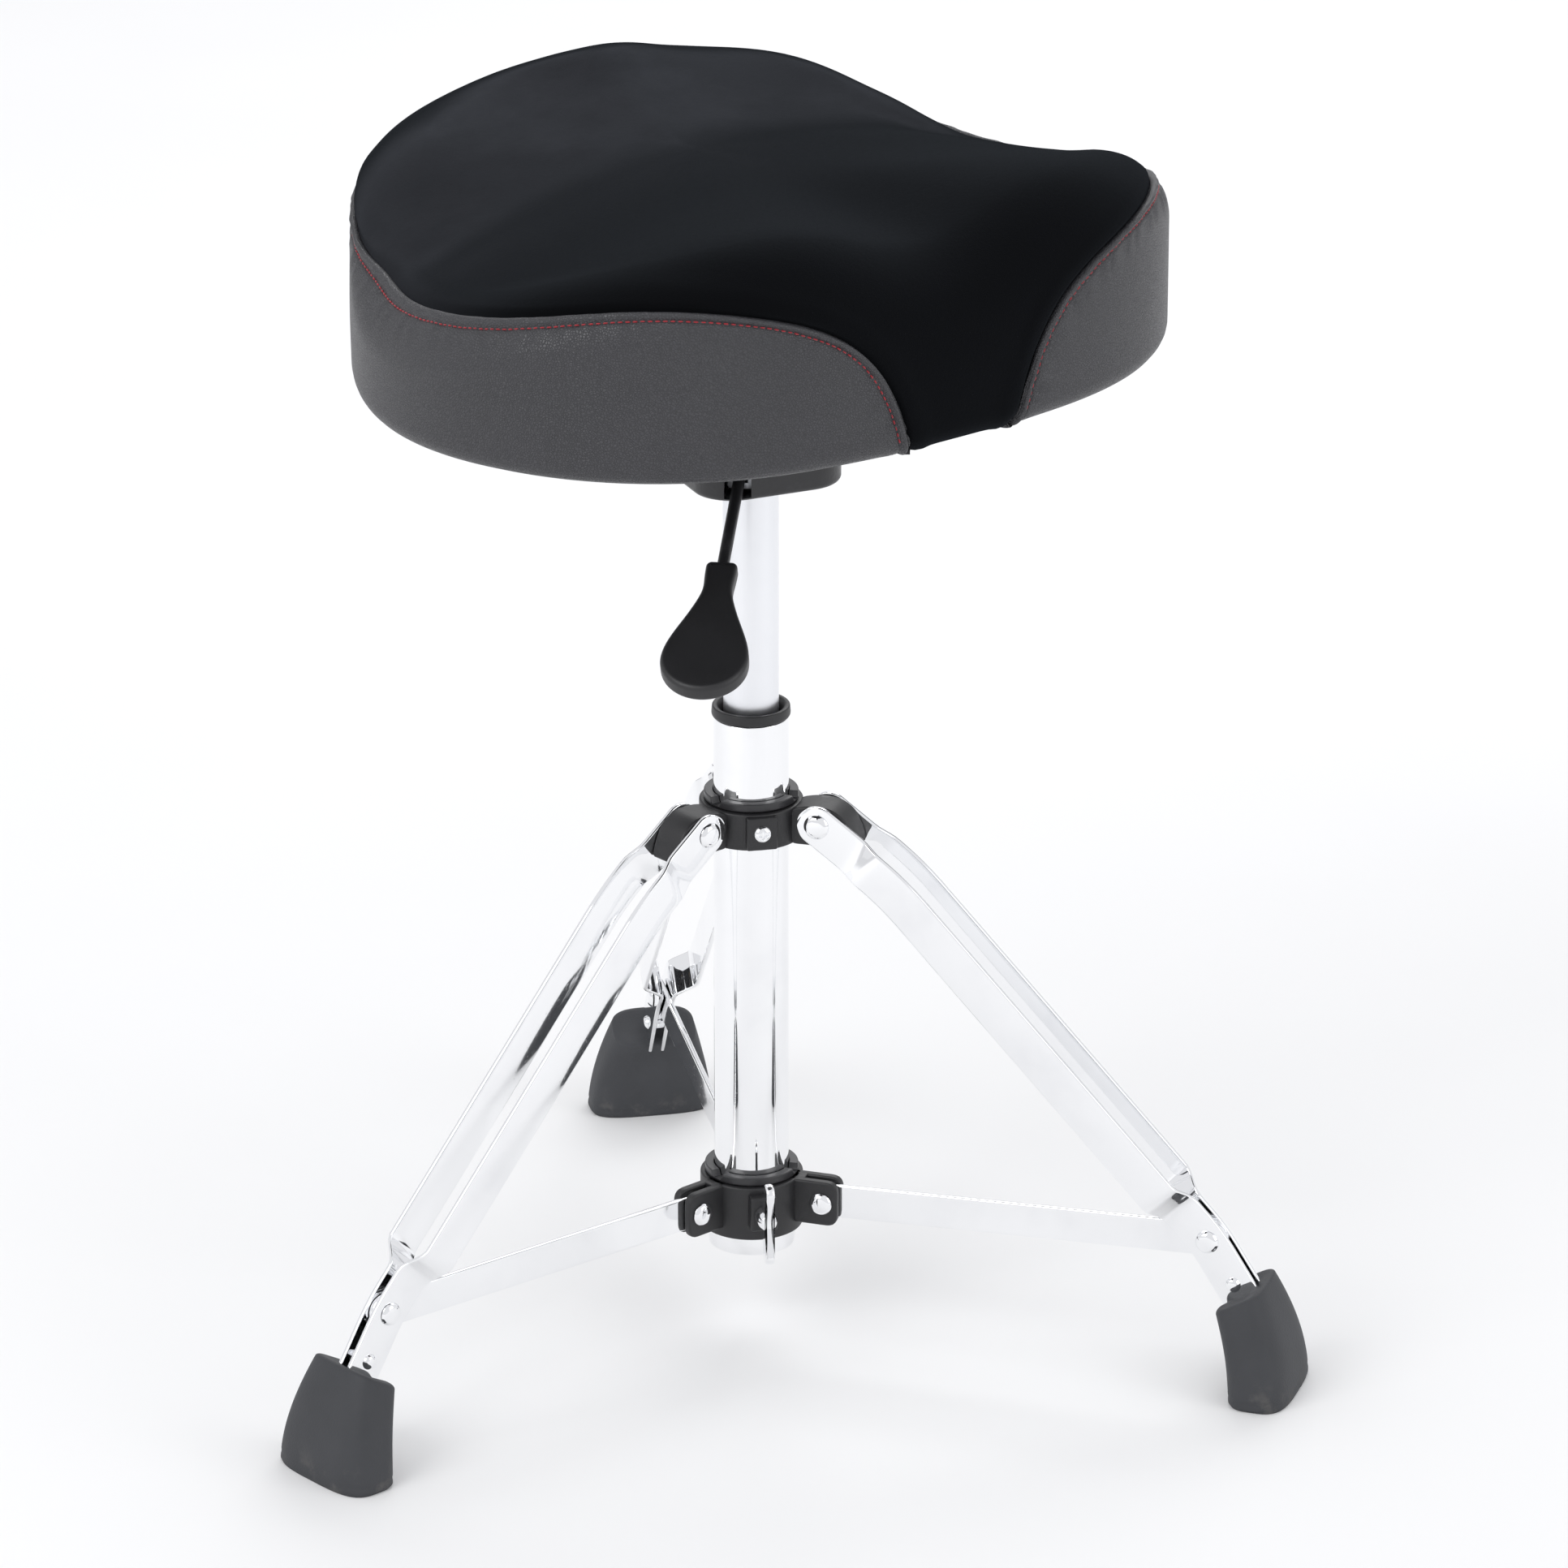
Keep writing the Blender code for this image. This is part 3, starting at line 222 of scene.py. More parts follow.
def carried(section, path, across, up, widths=1.0):
    """A closed section of (a, b) pairs carried along a path: path + a * width * across + b * up."""
    wide = np.broadcast_to(widths, len(path))[:, None, None]
    return (path[:, None] + section[None, :, :1] * wide * across[:, None]
            + section[None, :, 1:] * up[:, None])


def slab(outline, thickness, ease, steps=4):
    """A plate about Z = 0 with rounded edges. Its rows are the outline, pulled in by ease (1 - cos a) at
    a height of half the thickness less ease (1 - sin a), and one more row inside that keeps the face
    flat."""
    p = np.array(outline, float)
    ahead = np.roll(p, -1, 0) - np.roll(p, 1, 0)
    ahead /= np.linalg.norm(ahead, axis=1, keepdims=True)
    turning = np.sign(np.sum(p[:, 0] * np.roll(p[:, 1], -1) - p[:, 1] * np.roll(p[:, 0], -1)))
    outward = turning * np.stack([ahead[:, 1], -ahead[:, 0]], -1)
    a = np.linspace(0, np.pi / 2, steps + 1)
    pull = np.append(ease * (1 - np.cos(a)), ease * 1.3)
    level = np.append(thickness / 2 - ease * (1 - np.sin(a)), thickness / 2)
    pull, level = np.concatenate([pull[::-1], pull]), np.concatenate([-level[::-1], level])
    flat = p[None] - outward[None] * pull[:, None, None]
    return np.concatenate([flat, np.broadcast_to(level[:, None, None], (*flat.shape[:2], 1))], -1)


def around_axis(points, angle=0.0):
    """Turns points about the column's axis, from the plane of angle 0 to a plan angle in radians."""
    c, s = np.cos(angle), np.sin(angle)
    return points @ np.array(((c, s, 0), (-s, c, 0), (0, 0, 1))) + AXIS


def upright(grid, height=0.0):
    """Stands a flat grid up in the plane of angle 0: its Y becomes height and its Z goes across."""
    return grid[..., (0, 2, 1)] + (0, 0, height)


def lying(grid, height=0.0):
    """Lays a turned grid down along the radial direction, at a height."""
    return grid[..., (2, 1, 0)] + (0, 0, height)


def smooth(x):
    x = np.clip(x, 0, 1)
    return x * x * (3 - 2 * x)


print("helpers ready:", eased([(0, 0), (1, 0), (1, 1)], 0.2).shape)

# %% [markdown]
# ## Writing shader maths as expressions
# A finish is arithmetic on patterns: more roughness where a smudge is, a darker colour where the nap lies
# down. Adding a Math node by hand for each sign makes that unreadable. A small class wraps one output
# socket and gives it the usual operators, so an expression on sockets adds its Math nodes by itself.
# Colours don't go through Math nodes, which would turn them grey. They go through a Mix node.

# %% The socket class and the finish class
class Value:
    """One output socket. Its operators add Math nodes and give back the result as another Value."""

    def __init__(self, finish, socket):
        self.finish, self.socket = finish, socket

    def math(self, operation, first, second=0.0):
        return self.finish.node("ShaderNodeMath", {"operation": operation}, {0: first, 1: second})

    def __add__(self, other):
        return self.math("ADD", self, other)

    def __sub__(self, other):
        return self.math("SUBTRACT", self, other)

    def __rsub__(self, other):
        return self.math("SUBTRACT", other, self)

    def __mul__(self, other):
        return self.math("MULTIPLY", self, other)

    __radd__ = __add__
    __rmul__ = __mul__

    def between(self, low, high):
        """0 below low, 1 above high, and a soft step between."""
        return self.finish.node("ShaderNodeMapRange", {"interpolation_type": "SMOOTHSTEP"},
                                {"Value": self, "From Min": low, "From Max": high})


class Finish:
    """A material with one Principled shader. Numbers that are the same all over are set on its
    sockets."""

    def __init__(self, name, **constants):
        self.material = bpy.data.materials.new(name)
        self.material.use_nodes = True
        self.tree = self.material.node_tree
        self.shader = self.tree.nodes["Principled BSDF"]
        for socket, value in constants.items():
            self.shader.inputs[socket.replace("_", " ")].default_value = value
        self.place = self.node("ShaderNodeTexCoord", out="Object")

    def node(self, kind, settings=(), inputs=(), out=0):
        """Adds a node: its settings first, then the values or links of its sockets."""
        made = self.tree.nodes.new(kind)
        for name, value in dict(settings).items():
            setattr(made, name, value)
        for name, value in dict(inputs).items():
            self.give(made.inputs[name], value)
        return Value(self, made.outputs[out])

    def give(self, socket, value):
        if isinstance(value, Value):
            self.tree.links.new(value.socket, socket)
        else:
            socket.default_value = value

    def scaled(self, *scale):
        """The object's own coordinates, stretched, so that a pattern is finer one way than another."""
        return self.node("ShaderNodeMapping", {}, {"Vector": self.place, "Scale": scale})

    def noise(self, scale, detail=3.0, rough=0.5, where=None):
        return self.node("ShaderNodeTexNoise", {}, {"Vector": where or self.place, "Scale": scale,
                                                    "Detail": detail, "Roughness": rough})

    def cells(self, scale, feature="F1", where=None):
        return self.node("ShaderNodeTexVoronoi", {"feature": feature},
                         {"Vector": where or self.place, "Scale": scale}, "Distance")

    def colour(self, mask, low, high):
        """A colour between two, by a mask."""
        return self.node("ShaderNodeMix", {"data_type": "RGBA"},
                         {0: mask, 6: (*low, 1), 7: (*high, 1)}, 2)

    def wear(self, **varying):
        """Links what changes over the surface to the shader."""
        for name, value in varying.items():
            self.give(self.shader.inputs[name.replace("_", " ")], value)

    def relief(self, height, distance, strength=1.0):
        """Small relief, in metres, as a Bump on the normal."""
        self.wear(Normal=self.node("ShaderNodeBump", {}, {"Height": height, "Distance": distance,
                                                          "Strength": strength}))


def finish(slot):
    """Registers a function as the maker of a slot's material, which is made once and then shared."""
    def keep(build):
        made = []

        def once():
            if not made:
                made.append(build())
            return made[0].material
        FINISHES[slot] = once
        return build
    return keep


print("shader helpers ready")

# %% [markdown]
# ## Metal finishes
# The stand is chromed steel: almost a mirror, with the faintest haze where hands have been and hair-thin
# scratches from folding. A perfect mirror looks like a drawing, so the haze changes the roughness and the
# scratches are a relief of a few thousandths of a millimetre. The gas cylinder is turned satin steel,
# whose fine rings run round it, so its pattern is squeezed along the height. The small fixings are zinc
# plated.

# %% Chrome, satin steel and zinc
@finish("chrome")
def chrome():
    f = Finish("chrome_plate", Metallic=1.0)
    haze = f.noise(14, 4, 0.6).between(0.48, 0.75)
    scratches = f.noise(1, 2, 0.5, f.scaled(900, 60, 900)).between(0.62, 0.72)
    f.wear(Base_Color=f.colour(haze, (0.94, 0.945, 0.955), (0.88, 0.885, 0.90)),
           Roughness=0.045 + haze * 0.07 + scratches * 0.06)
    f.relief(f.noise(35, 2, 0.4) + scratches * -0.04, 0.00006)
    return f


@finish("satin_steel")
def satin_steel():
    f = Finish("satin_steel", Metallic=1.0)
    rings = f.noise(1, 3, 0.7, f.scaled(6, 6, 4200))
    blotch = f.noise(22, 3, 0.5)
    f.wear(Base_Color=f.colour(blotch, (0.84, 0.85, 0.88), (0.92, 0.93, 0.95)),
           Roughness=0.25 + rings * 0.10 + blotch * 0.05)
    f.relief(rings, 0.00003)
    return f


@finish("steel")
def steel():
    f = Finish("zinc_steel", Metallic=1.0)
    spangle = f.cells(260)
    stain = f.noise(60, 4, 0.6).between(0.5, 0.7)
    f.wear(Base_Color=f.colour(stain, (0.56, 0.57, 0.60), (0.40, 0.40, 0.40)),
           Roughness=0.30 + spangle * 0.18)
    f.relief(f.noise(700, 2), 0.00004)
    return f


@finish("staple")
def staple_wire():
    f = Finish("staple_wire", Metallic=1.0)
    drawn = f.noise(1, 2, 0.5, f.scaled(300, 300, 2500))
    f.wear(Base_Color=f.colour(drawn, (0.60, 0.60, 0.62), (0.72, 0.72, 0.74)),
           Roughness=0.24 + drawn * 0.16)
    return f


# %% [markdown]
# ## Paint, plastic and rubber
# Powder coat has the skin of an orange, moulded plastic a fine spark-eroded grain, and rubber is dull and
# picks up dust. All three are black, so their grain and gloss are what tells them apart. Dust settles on
# rubber where it meets the floor, so its mask uses the height.

# %% Powder coat, moulded plastic, nylon and rubber
@finish("black_paint")
def black_paint():
    f = Finish("powder_coat", Specular_IOR_Level=0.5)
    peel = f.noise(420, 2, 0.5)
    rub = f.noise(45, 4, 0.65).between(0.55, 0.75)
    f.wear(Base_Color=f.colour(rub, (0.020, 0.020, 0.022), (0.034, 0.034, 0.037)),
           Roughness=0.34 + rub * 0.14)
    f.relief(peel, 0.00016)
    return f


@finish("black_plastic")
def black_plastic():
    f = Finish("moulded_plastic", Specular_IOR_Level=0.5)
    grain = f.cells(1500)
    flow = f.noise(30, 3, 0.5)
    f.wear(Base_Color=f.colour(flow, (0.011, 0.011, 0.012), (0.022, 0.022, 0.024)),
           Roughness=0.36 + flow * 0.10 + grain * 0.06)
    f.relief(grain, 0.00005, 0.7)
    return f


@finish("nylon")
def nylon():
    f = Finish("nylon_bush", Specular_IOR_Level=0.5)
    cloud = f.noise(55, 3, 0.5)
    f.wear(Base_Color=f.colour(cloud, (0.020, 0.020, 0.022), (0.036, 0.036, 0.039)),
           Roughness=0.28 + cloud * 0.16)
    f.relief(f.noise(900, 2), 0.00003)
    return f


@finish("foot_rubber")
def foot_rubber():
    f = Finish("foot_rubber", Specular_IOR_Level=0.35)
    height = f.node("ShaderNodeSeparateXYZ", {}, {0: f.place}, "Z")
    scuff = f.noise(90, 5, 0.65).between(0.5, 0.72) * (1 - height.between(0.002, 0.022))
    cloud = f.noise(40, 3, 0.5)
    f.wear(Base_Color=f.node("ShaderNodeMix", {"data_type": "RGBA"},
                             {0: scuff * 0.55,
                              6: f.colour(cloud, (0.036, 0.038, 0.042), (0.058, 0.060, 0.066)),
                              7: (0.13, 0.125, 0.12, 1)}, 2),
           Roughness=0.56 + scuff * 0.25 + cloud * 0.10)
    f.relief(f.cells(900) * 0.6 + f.noise(260, 3) * 0.6, 0.00012)
    return f


print("hard finishes:", sorted(FINISHES))

# %% [markdown]
# ## Fabric finishes
# The top is a short black velour: thousands of fibres that shine at a flat angle and swallow light head
# on. The shader's sheen does that, and the nap is brushed in soft patches that are a little lighter. Over
# these, painted light and shade, stored per point, make some slopes and the back lighter and the rest
# darker. The sides are charcoal vinyl, whose grain is a net of fine creases round rounded pebbles: the
# distance to the edge of a cell pattern. A soft noise breaks the cells, because real grain isn't a honeycomb.

# %% Velour and vinyl
@finish("black_velour")
def black_velour():
    f = Finish("black_velour", Specular_IOR_Level=0.0, Sheen_Weight=0.05, Sheen_Roughness=0.6,
               Sheen_Tint=(0.62, 0.70, 0.80, 1))
    nap = f.noise(1, 4, 0.62, f.scaled(9, 14, 20))
    pile = f.noise(2600, 2, 0.6)
    brushed = nap.between(0.36, 0.66)
    # Painted light and shade: a per-point value baked on the velour top, lighter on slopes that face the front
    # left and at the back, darker elsewhere
    lying = f.node("ShaderNodeAttribute", {"attribute_name": "nap"}, {}, "Fac")
    # The dark end of this colour is painted shade and the light end painted light, mixed with the brushed patches
    # and the pile
    lit = lying * (0.60 + brushed * 0.25 + pile * 0.15)
    f.wear(Base_Color=f.colour(lit, (0.0026, 0.0026, 0.0030), (0.0370, 0.0385, 0.0440)),
           Roughness=0.80 + brushed * 0.15)
    f.relief(pile + f.noise(420, 3, 0.6) * 0.8, 0.00028, 0.8)
    return f


@finish("black_vinyl")
def black_vinyl():
    f = Finish("black_vinyl", Specular_IOR_Level=0.5)
    wander = f.node("ShaderNodeTexNoise", {}, {"Vector": f.place, "Scale": 320.0}, "Color")
    drift = f.node("ShaderNodeMix", {"data_type": "VECTOR"}, {0: 0.0016, 4: f.place, 5: wander}, 1)
    pebbles = f.cells(760, "DISTANCE_TO_EDGE", drift).between(0.0, 0.22)
    folds = f.noise(150, 5, 0.62)
    worn = f.noise(17, 4, 0.55)
    f.wear(Base_Color=f.colour(pebbles * 0.6 + worn * 0.4, (0.022, 0.022, 0.025), (0.050, 0.050, 0.056)),
           Roughness=0.42 + worn * 0.08 - pebbles * 0.08)
    f.relief(pebbles + folds * 1.1, 0.00022, 0.9)
    return f


@finish("red_thread")
def red_thread():
    f = Finish("red_thread", Specular_IOR_Level=0.35, Sheen_Weight=0.3)
    twist = f.noise(1, 2, 0.5, f.scaled(2400, 2400, 1500))
    f.wear(Base_Color=f.colour(twist, (0.20, 0.006, 0.012), (0.46, 0.022, 0.036)),
           Roughness=0.55 + twist * 0.2)
    f.relief(twist, 0.0001)
    return f


# %% [markdown]
# ## What lies underneath
# From below one sees the dust cloth, the edge of the plywood board and, past its fixings, the foam. The
# dust cloth is pressed felt: a tangle of fibres with pressed dots. Plywood shows its layers on the edge,
# which are bands in height.

# %% Plywood, foam and dust cloth
@finish("plywood")
def plywood():
    f = Finish("plywood", Specular_IOR_Level=0.3)
    height = f.node("ShaderNodeSeparateXYZ", {}, {0: f.place}, "Z")
    layers = height.math("SINE", (height + f.noise(40, 2) * 0.0006) * 2600.0) * 0.5 + 0.5
    grain = f.noise(1, 4, 0.6, f.scaled(12, 160, 160))
    f.wear(Base_Color=f.colour(layers * 0.5 + grain * 0.5, (0.33, 0.20, 0.10), (0.58, 0.42, 0.25)),
           Roughness=0.62 + grain * 0.2)
    f.relief(grain, 0.0002)
    return f


@finish("foam")
def foam():
    f = Finish("moulded_foam", Specular_IOR_Level=0.2)
    pores = f.cells(620)
    f.wear(Base_Color=f.colour(pores, (0.42, 0.38, 0.24), (0.72, 0.68, 0.50)),
           Roughness=0.88 + pores * 0.1)
    f.relief(pores, 0.0004)
    return f


@finish("dust_cloth")
def dust_cloth():
    f = Finish("dust_cloth", Specular_IOR_Level=0.2)
    fibres = f.noise(520, 5, 0.75)
    dots = 1 - f.cells(620).between(0.12, 0.34)
    f.wear(Base_Color=f.colour(fibres, (0.008, 0.008, 0.009), (0.034, 0.034, 0.036)),
           Roughness=0.95 - dots * 0.35)
    f.relief(fibres - dots * 0.8, 0.0002)
    return f


print("all finishes:", sorted(FINISHES))

# %% [markdown]
# ## The column
# The column is a chromed tube. A thin black collar is pushed into its top and guides the gas cylinder,
# and a chromed cap closes its foot. All three are turned profiles. The collar's rim stands a hair proud
# of the tube, which is the dark line between the two bright cylinders.

# %% Column tube, collar and base cap
WALL = 0.002
foot_of_tube, head_of_tube = box("column_tube")[0][2], box("column_tube")[1][2]
COLLAR_TOP = box("column_collar")[1][2]
CAP_BOTTOM, CAP_TOP = box("base_cap")[0][2], box("base_cap")[1][2]


def turned_piece(name, body, slot, profile, radius, ring=True, count=96, angle=0.0, **more):
    """A piece turned about the column's own axis."""
    grid = turned(eased(profile, radius, ring=ring), count)
    return piece(name + FINE, body, slot, *shell(around_axis(grid, angle), along=ring), **more)


turned_piece("column_tube", "column", "chrome",
             [(TUBE - WALL, head_of_tube), (TUBE, head_of_tube), (TUBE, foot_of_tube),
              (TUBE - WALL, foot_of_tube)],
             0.0005)
turned_piece("column_collar", "column", "black_plastic",
             [(CYLINDER + 0.0022, COLLAR_TOP - 0.0016), (CYLINDER + 0.0034, COLLAR_TOP),
              (TUBE + 0.0006, COLLAR_TOP),
              (TUBE + 0.0010, COLLAR_TOP - 0.0045), (TUBE + 0.0004, COLLAR_TOP - 0.0057),
              (TUBE - WALL - 0.0003, COLLAR_TOP - 0.0057), (TUBE - WALL - 0.0003, COLLAR_TOP - 0.022),
              (CYLINDER + 0.0004, COLLAR_TOP - 0.022), (CYLINDER + 0.0004, COLLAR_TOP - 0.006)], 0.0008)
turned_piece("base_cap", "column", "chrome",
             [(TUBE + 0.003, CAP_TOP), (TUBE + 0.003, CAP_BOTTOM), (0.0056, CAP_BOTTOM),
              (0.0056, CAP_BOTTOM + 0.002),
              (TUBE + 0.0003, CAP_BOTTOM + 0.002), (TUBE + 0.0003, CAP_TOP)], 0.0011)
print("column from", round(foot_of_tube, 4), "to", round(COLLAR_TOP, 4))

# %% [markdown]
# ## Hubs and bushes
# Two black hubs ride on the column: the upper one holds the legs, the lower one the struts. Each is a
# moulded ring with arms, and it could be cut out of one block with Booleans. It is simpler to let rounded
# pieces run into each other, as a pattern maker would glue them up. Each hub has a nylon bush inside,
# whose lip shows on top and is notched three times so that it can spring over the tube.

# %% Upper hub
BORE = TUBE + 0.0031
RIM = BORE + 0.0042
HEAD_SPREAD, MAIN_SPREAD, TOE_SPREAD = 0.0108, 0.0142, 0.0034
LEG_WIDTH, LEG_PLATE = 0.021, 0.0026
UPPER = box("upper_hub_sleeve")[0][2] + 0.0012, PIVOT[1] + 0.0075


def arms(outline, thickness, turns, ease=0.0012):
    """The same flat arm, standing in the plane of each of the given turns."""
    grid = upright(slab(outline, thickness, ease))
    return [shell(around_axis(grid, turn), capped=True) for turn in turns]


def rim_ring(inner, outer, low, high, ease=0.0012):
    profile = [(inner, high), (outer, high), (outer, low), (inner, low)]
    return shell(around_axis(turned(eased(profile, ease, ring=True), 96)), along=True)


def upper_ear():
    """The arm's side view: thick over the pivot and drawn out into a lip under the leg."""
    low, high = UPPER
    root, mid, tip = BORE + 0.0008, PIVOT[0], PIVOT[0] + 0.020
    return eased([(root, low), (mid + 0.010, low + 0.0006), (tip - 0.002, low - 0.0011),
                  (tip, low + 0.0002),
                  (tip - 0.0015, low + 0.007), (mid + 0.014, high - 0.003), (mid + 0.006, high + 0.0018),
                  (mid - 0.006, high + 0.0018), (root, high - 0.0006)], 0.004, 5, ring=True)


boss_face = RIM + 0.0022
boss = eased([(BORE + 0.0008, -0.008), (boss_face, -0.008), (boss_face, 0.008), (BORE + 0.0008, 0.008)],
             0.0015, ring=True)
boss_shell = shell(around_axis(slab(boss, UPPER[1] - UPPER[0] - 0.002, 0.001) + (0, 0, sum(UPPER) / 2),
                               SCREW_TURN),
                   capped=True)
ear_thickness = 2 * (HEAD_SPREAD - LEG_PLATE / 2 - 0.0003)
piece("upper_hub" + FINE, "column", "black_plastic",
      *together(rim_ring(BORE, RIM, *UPPER), *arms(upper_ear(), ear_thickness, LEGS), boss_shell))
print("upper hub from", [round(z, 4) for z in UPPER])


# %% Bushes with notched lips
def bush(name, body, bottom, top):
    """A turned bush whose lip is lowered by a notch wherever the turn comes within 9 degrees of one of
    three."""
    lip, outer, rise = BORE + 0.0018, BORE - 0.0003, top + 0.0003
    profile = eased([(lip, rise + 0.0042), (lip, rise), (outer, rise), (outer, bottom),
                     (TUBE + 0.0003, bottom),
                     (TUBE + 0.0003, rise + 0.0042)], 0.0007, ring=True)
    grid = turned(profile, 180)
    turn = np.linspace(0, 2 * np.pi, 180, endpoint=False) - SCREW_TURN - np.pi / 3
    off = np.abs((turn + np.pi / 3) % (2 * np.pi / 3) - np.pi / 3)
    floor = rise + 0.0010 + 0.0032 * smooth((off - np.radians(7)) / np.radians(2.5))
    grid[..., 2] = np.minimum(grid[..., 2], floor[None, :])
    piece(name + FINE, body, "nylon", *shell(around_axis(grid), along=True))


bush("upper_hub_sleeve", "column", UPPER[0] - 0.0012, UPPER[1])
LOWER = SWING[1] - 0.017, SWING[1] + 0.012
bush("lower_hub_sleeve", "lower_hub", box("lower_hub_sleeve")[0][2], LOWER[1])

# %% [markdown]
# ## Lower hub
# Each strut swings between two lugs. A slot between a pair of lugs is empty space, so the pair is made as
# two thin arms side by side instead of one thick arm that is cut.

# %% Lower hub with its pairs of lugs
LUG_HALF, STRUT_WIDTH, STRUT_PLATE = 0.0065, 0.018, 0.003
slot_half = STRUT_PLATE / 2 + 0.0004
lug_thickness = LUG_HALF - slot_half
lug_low, lug_high, lug_tip = SWING[1] - 0.012, SWING[1] + 0.012, SWING[0] + 0.0085
lug = eased([(BORE + 0.0008, lug_low), (lug_tip, lug_low), (lug_tip, lug_high),
             (BORE + 0.0008, lug_high)],
            (0.0005, 0.006, 0.006, 0.0005), 5, ring=True)
root = eased([(BORE + 0.0008, lug_low), (SWING[0] - STRUT_WIDTH / 2 - 0.0008, lug_low),
              (SWING[0] - STRUT_WIDTH / 2 - 0.0008, lug_high), (BORE + 0.0008,
                                                                lug_high)], 0.0006, ring=True)
aside = (LUG_HALF + slot_half) / 2
lugs = []
for leg in LEGS:
    for side in (1, -1):
        grid = upright(slab(lug, lug_thickness, 0.0011)) + (0, side * aside, 0)
        lugs.append(shell(around_axis(grid, leg), capped=True))
boss_face = RIM + 0.0065
boss = eased([(BORE + 0.0008, -0.007), (boss_face, -0.007), (boss_face, 0.007), (BORE + 0.0008, 0.007)],
             0.0015, ring=True)
boss_shell = shell(around_axis(slab(boss, 0.018, 0.001) + (0, 0, SWING[1]), SCREW_TURN), capped=True)
piece("lower_hub" + FINE, "lower_hub", "black_plastic",
      *together(rim_ring(BORE, RIM, *LOWER), *lugs, *arms(root, 2 * slot_half + 0.002, LEGS, 0.0002),
                boss_shell))
print("lower hub from", [round(z, 4) for z in LOWER])

# %% [markdown]
# ## Screws
# The lock screw has a pan head with a cross recess. The head is a height over a disc: a low dome, less a
# cross wherever the point lies close to either diameter. Taking the smaller of two distances gives both
# bars of the cross at once. The wing screw is a turned boss with two cast wings.

# %% Lock screw and wing screw
def pan_head(radius, rise, cross):
    """Height over a disc: rise * sqrt(1 - (r/radius)^2.6), less a cross whose bars are cross wide."""
    r = radius * np.append(np.linspace(0, 0.9, 22), 0.9 + 0.1 * np.sin(np.linspace(0, np.pi / 2, 8)[1:]))
    turn = np.linspace(0, 2 * np.pi, 96, endpoint=False)
    x, y = np.outer(r, np.cos(turn)), np.outer(r, np.sin(turn))
    dome = rise * (1 - (r[:, None] / radius) ** 2.6) ** 0.5 * np.ones_like(x)
    bar = np.minimum(np.abs(x), np.abs(y))
    reach = np.hypot(x, y)
    recess = (1 - smooth((bar - cross / 2) / 0.00035)) * (1 - smooth((reach - radius * 0.5) / 0.0005))
    return np.stack([x, y, dome - recess * rise * 0.55], -1)


LOCK_Z = PIVOT[1] - 0.002
face = RIM + 0.0022
skirt = turned([(0.0045, 0.0), (0.0024, 0.0), (0.0024, BORE - face), (0, BORE - face)], 96)
head = np.concatenate([pan_head(0.0045, 0.0027, 0.0008), skirt]) + (0, 0, face)
piece("hub_lock_screw" + FINE, "column", "chrome", *shell(around_axis(lying(head, LOCK_Z), SCREW_TURN)))

face = RIM + 0.0065
profile = eased([(0, face + 0.0115), (0.0040, face + 0.0112), (0.0052, face + 0.0075),
                 (0.0056, face + 0.0003),
                 (0.0030, face + 0.0003), (0.0030, BORE + 0.0003), (0, BORE + 0.0003)], 0.0009)
x = face + 0.0065
wings = np.concatenate([[(x - 0.004, -0.003), (x - 0.001, -0.012)],
                        arc((x + 0.005, -0.0165), 0.0055, 190, 350),
                        [(x + 0.0060, -0.004), (x + 0.0052, 0.0), (x + 0.0060, 0.004)],
                        arc((x + 0.005, 0.0165), 0.0055, 10, 170), [(x - 0.001, 0.012),
                                                                    (x - 0.004, 0.003)]])
wing_grid = upright(slab(eased(wings, 0.0018, 3, ring=True), 0.0045, 0.0014), SWING[1])
screw = shell(around_axis(lying(turned(profile, 48), SWING[1]), SCREW_TURN))
piece("wing_screw" + FINE, "wing_screw", "chrome",
      *together(screw, shell(around_axis(wing_grid, SCREW_TURN), capped=True)))
print("screws placed at", round(LOCK_Z, 4), "and", round(SWING[1], 4))

# %% [markdown]
# ## Legs
# A leg is a pair of flat bars, stamped with a bend at the shoulder and stepped outwards below the hub and
# inwards above the strut. A bar is one section carried along the leg's centreline: a rounded oblong that
# narrows to a half circle on the pivot. The same function places both bars, mirrored across the leg's
# plane, and its step is a soft curve along the length.

# %% Leg plates
FOOT_HEIGHT, FOOT_DEPTH = box("leg_3_foot")[1][2], 0.0325
FOOT_REACH = AXIS[0] - box("leg_3_foot")[0][0] - FOOT_DEPTH / 2
MOUTH = np.array((FOOT_REACH - 0.0143, FOOT_HEIGHT - 0.010))
TOE = (MOUTH - KNEE) / np.linalg.norm(MOUTH - KNEE)


def leg_path(step=0.003):
    """The centreline at even steps, in the leg's plane, and the distance of the knee along it."""
    corners = [PIVOT, PIVOT + (0.0405, -0.029), KNEE, MOUTH, MOUTH + TOE * 0.020]
    line = eased(corners, (0, 0.016, 0.010, 0.004, 0), 10)
    length = np.append(0, np.cumsum(np.linalg.norm(np.diff(line, axis=0), axis=1)))
    knee = length[np.argmin(np.linalg.norm(line - KNEE, axis=1))]
    nose = -LEG_WIDTH / 2 * np.cos(np.radians(np.linspace(4, 86, 12)))
    s = np.concatenate([nose, np.linspace(0, length[-1], int(length[-1] / step))])
    first = (line[1] - line[0]) / np.linalg.norm(line[1] - line[0])
    path = np.stack([np.interp(s, length, line[:, k]) for k in (0, 1)], -1)
    path = path + np.minimum(s, 0)[:, None] * first
    return s, path, knee


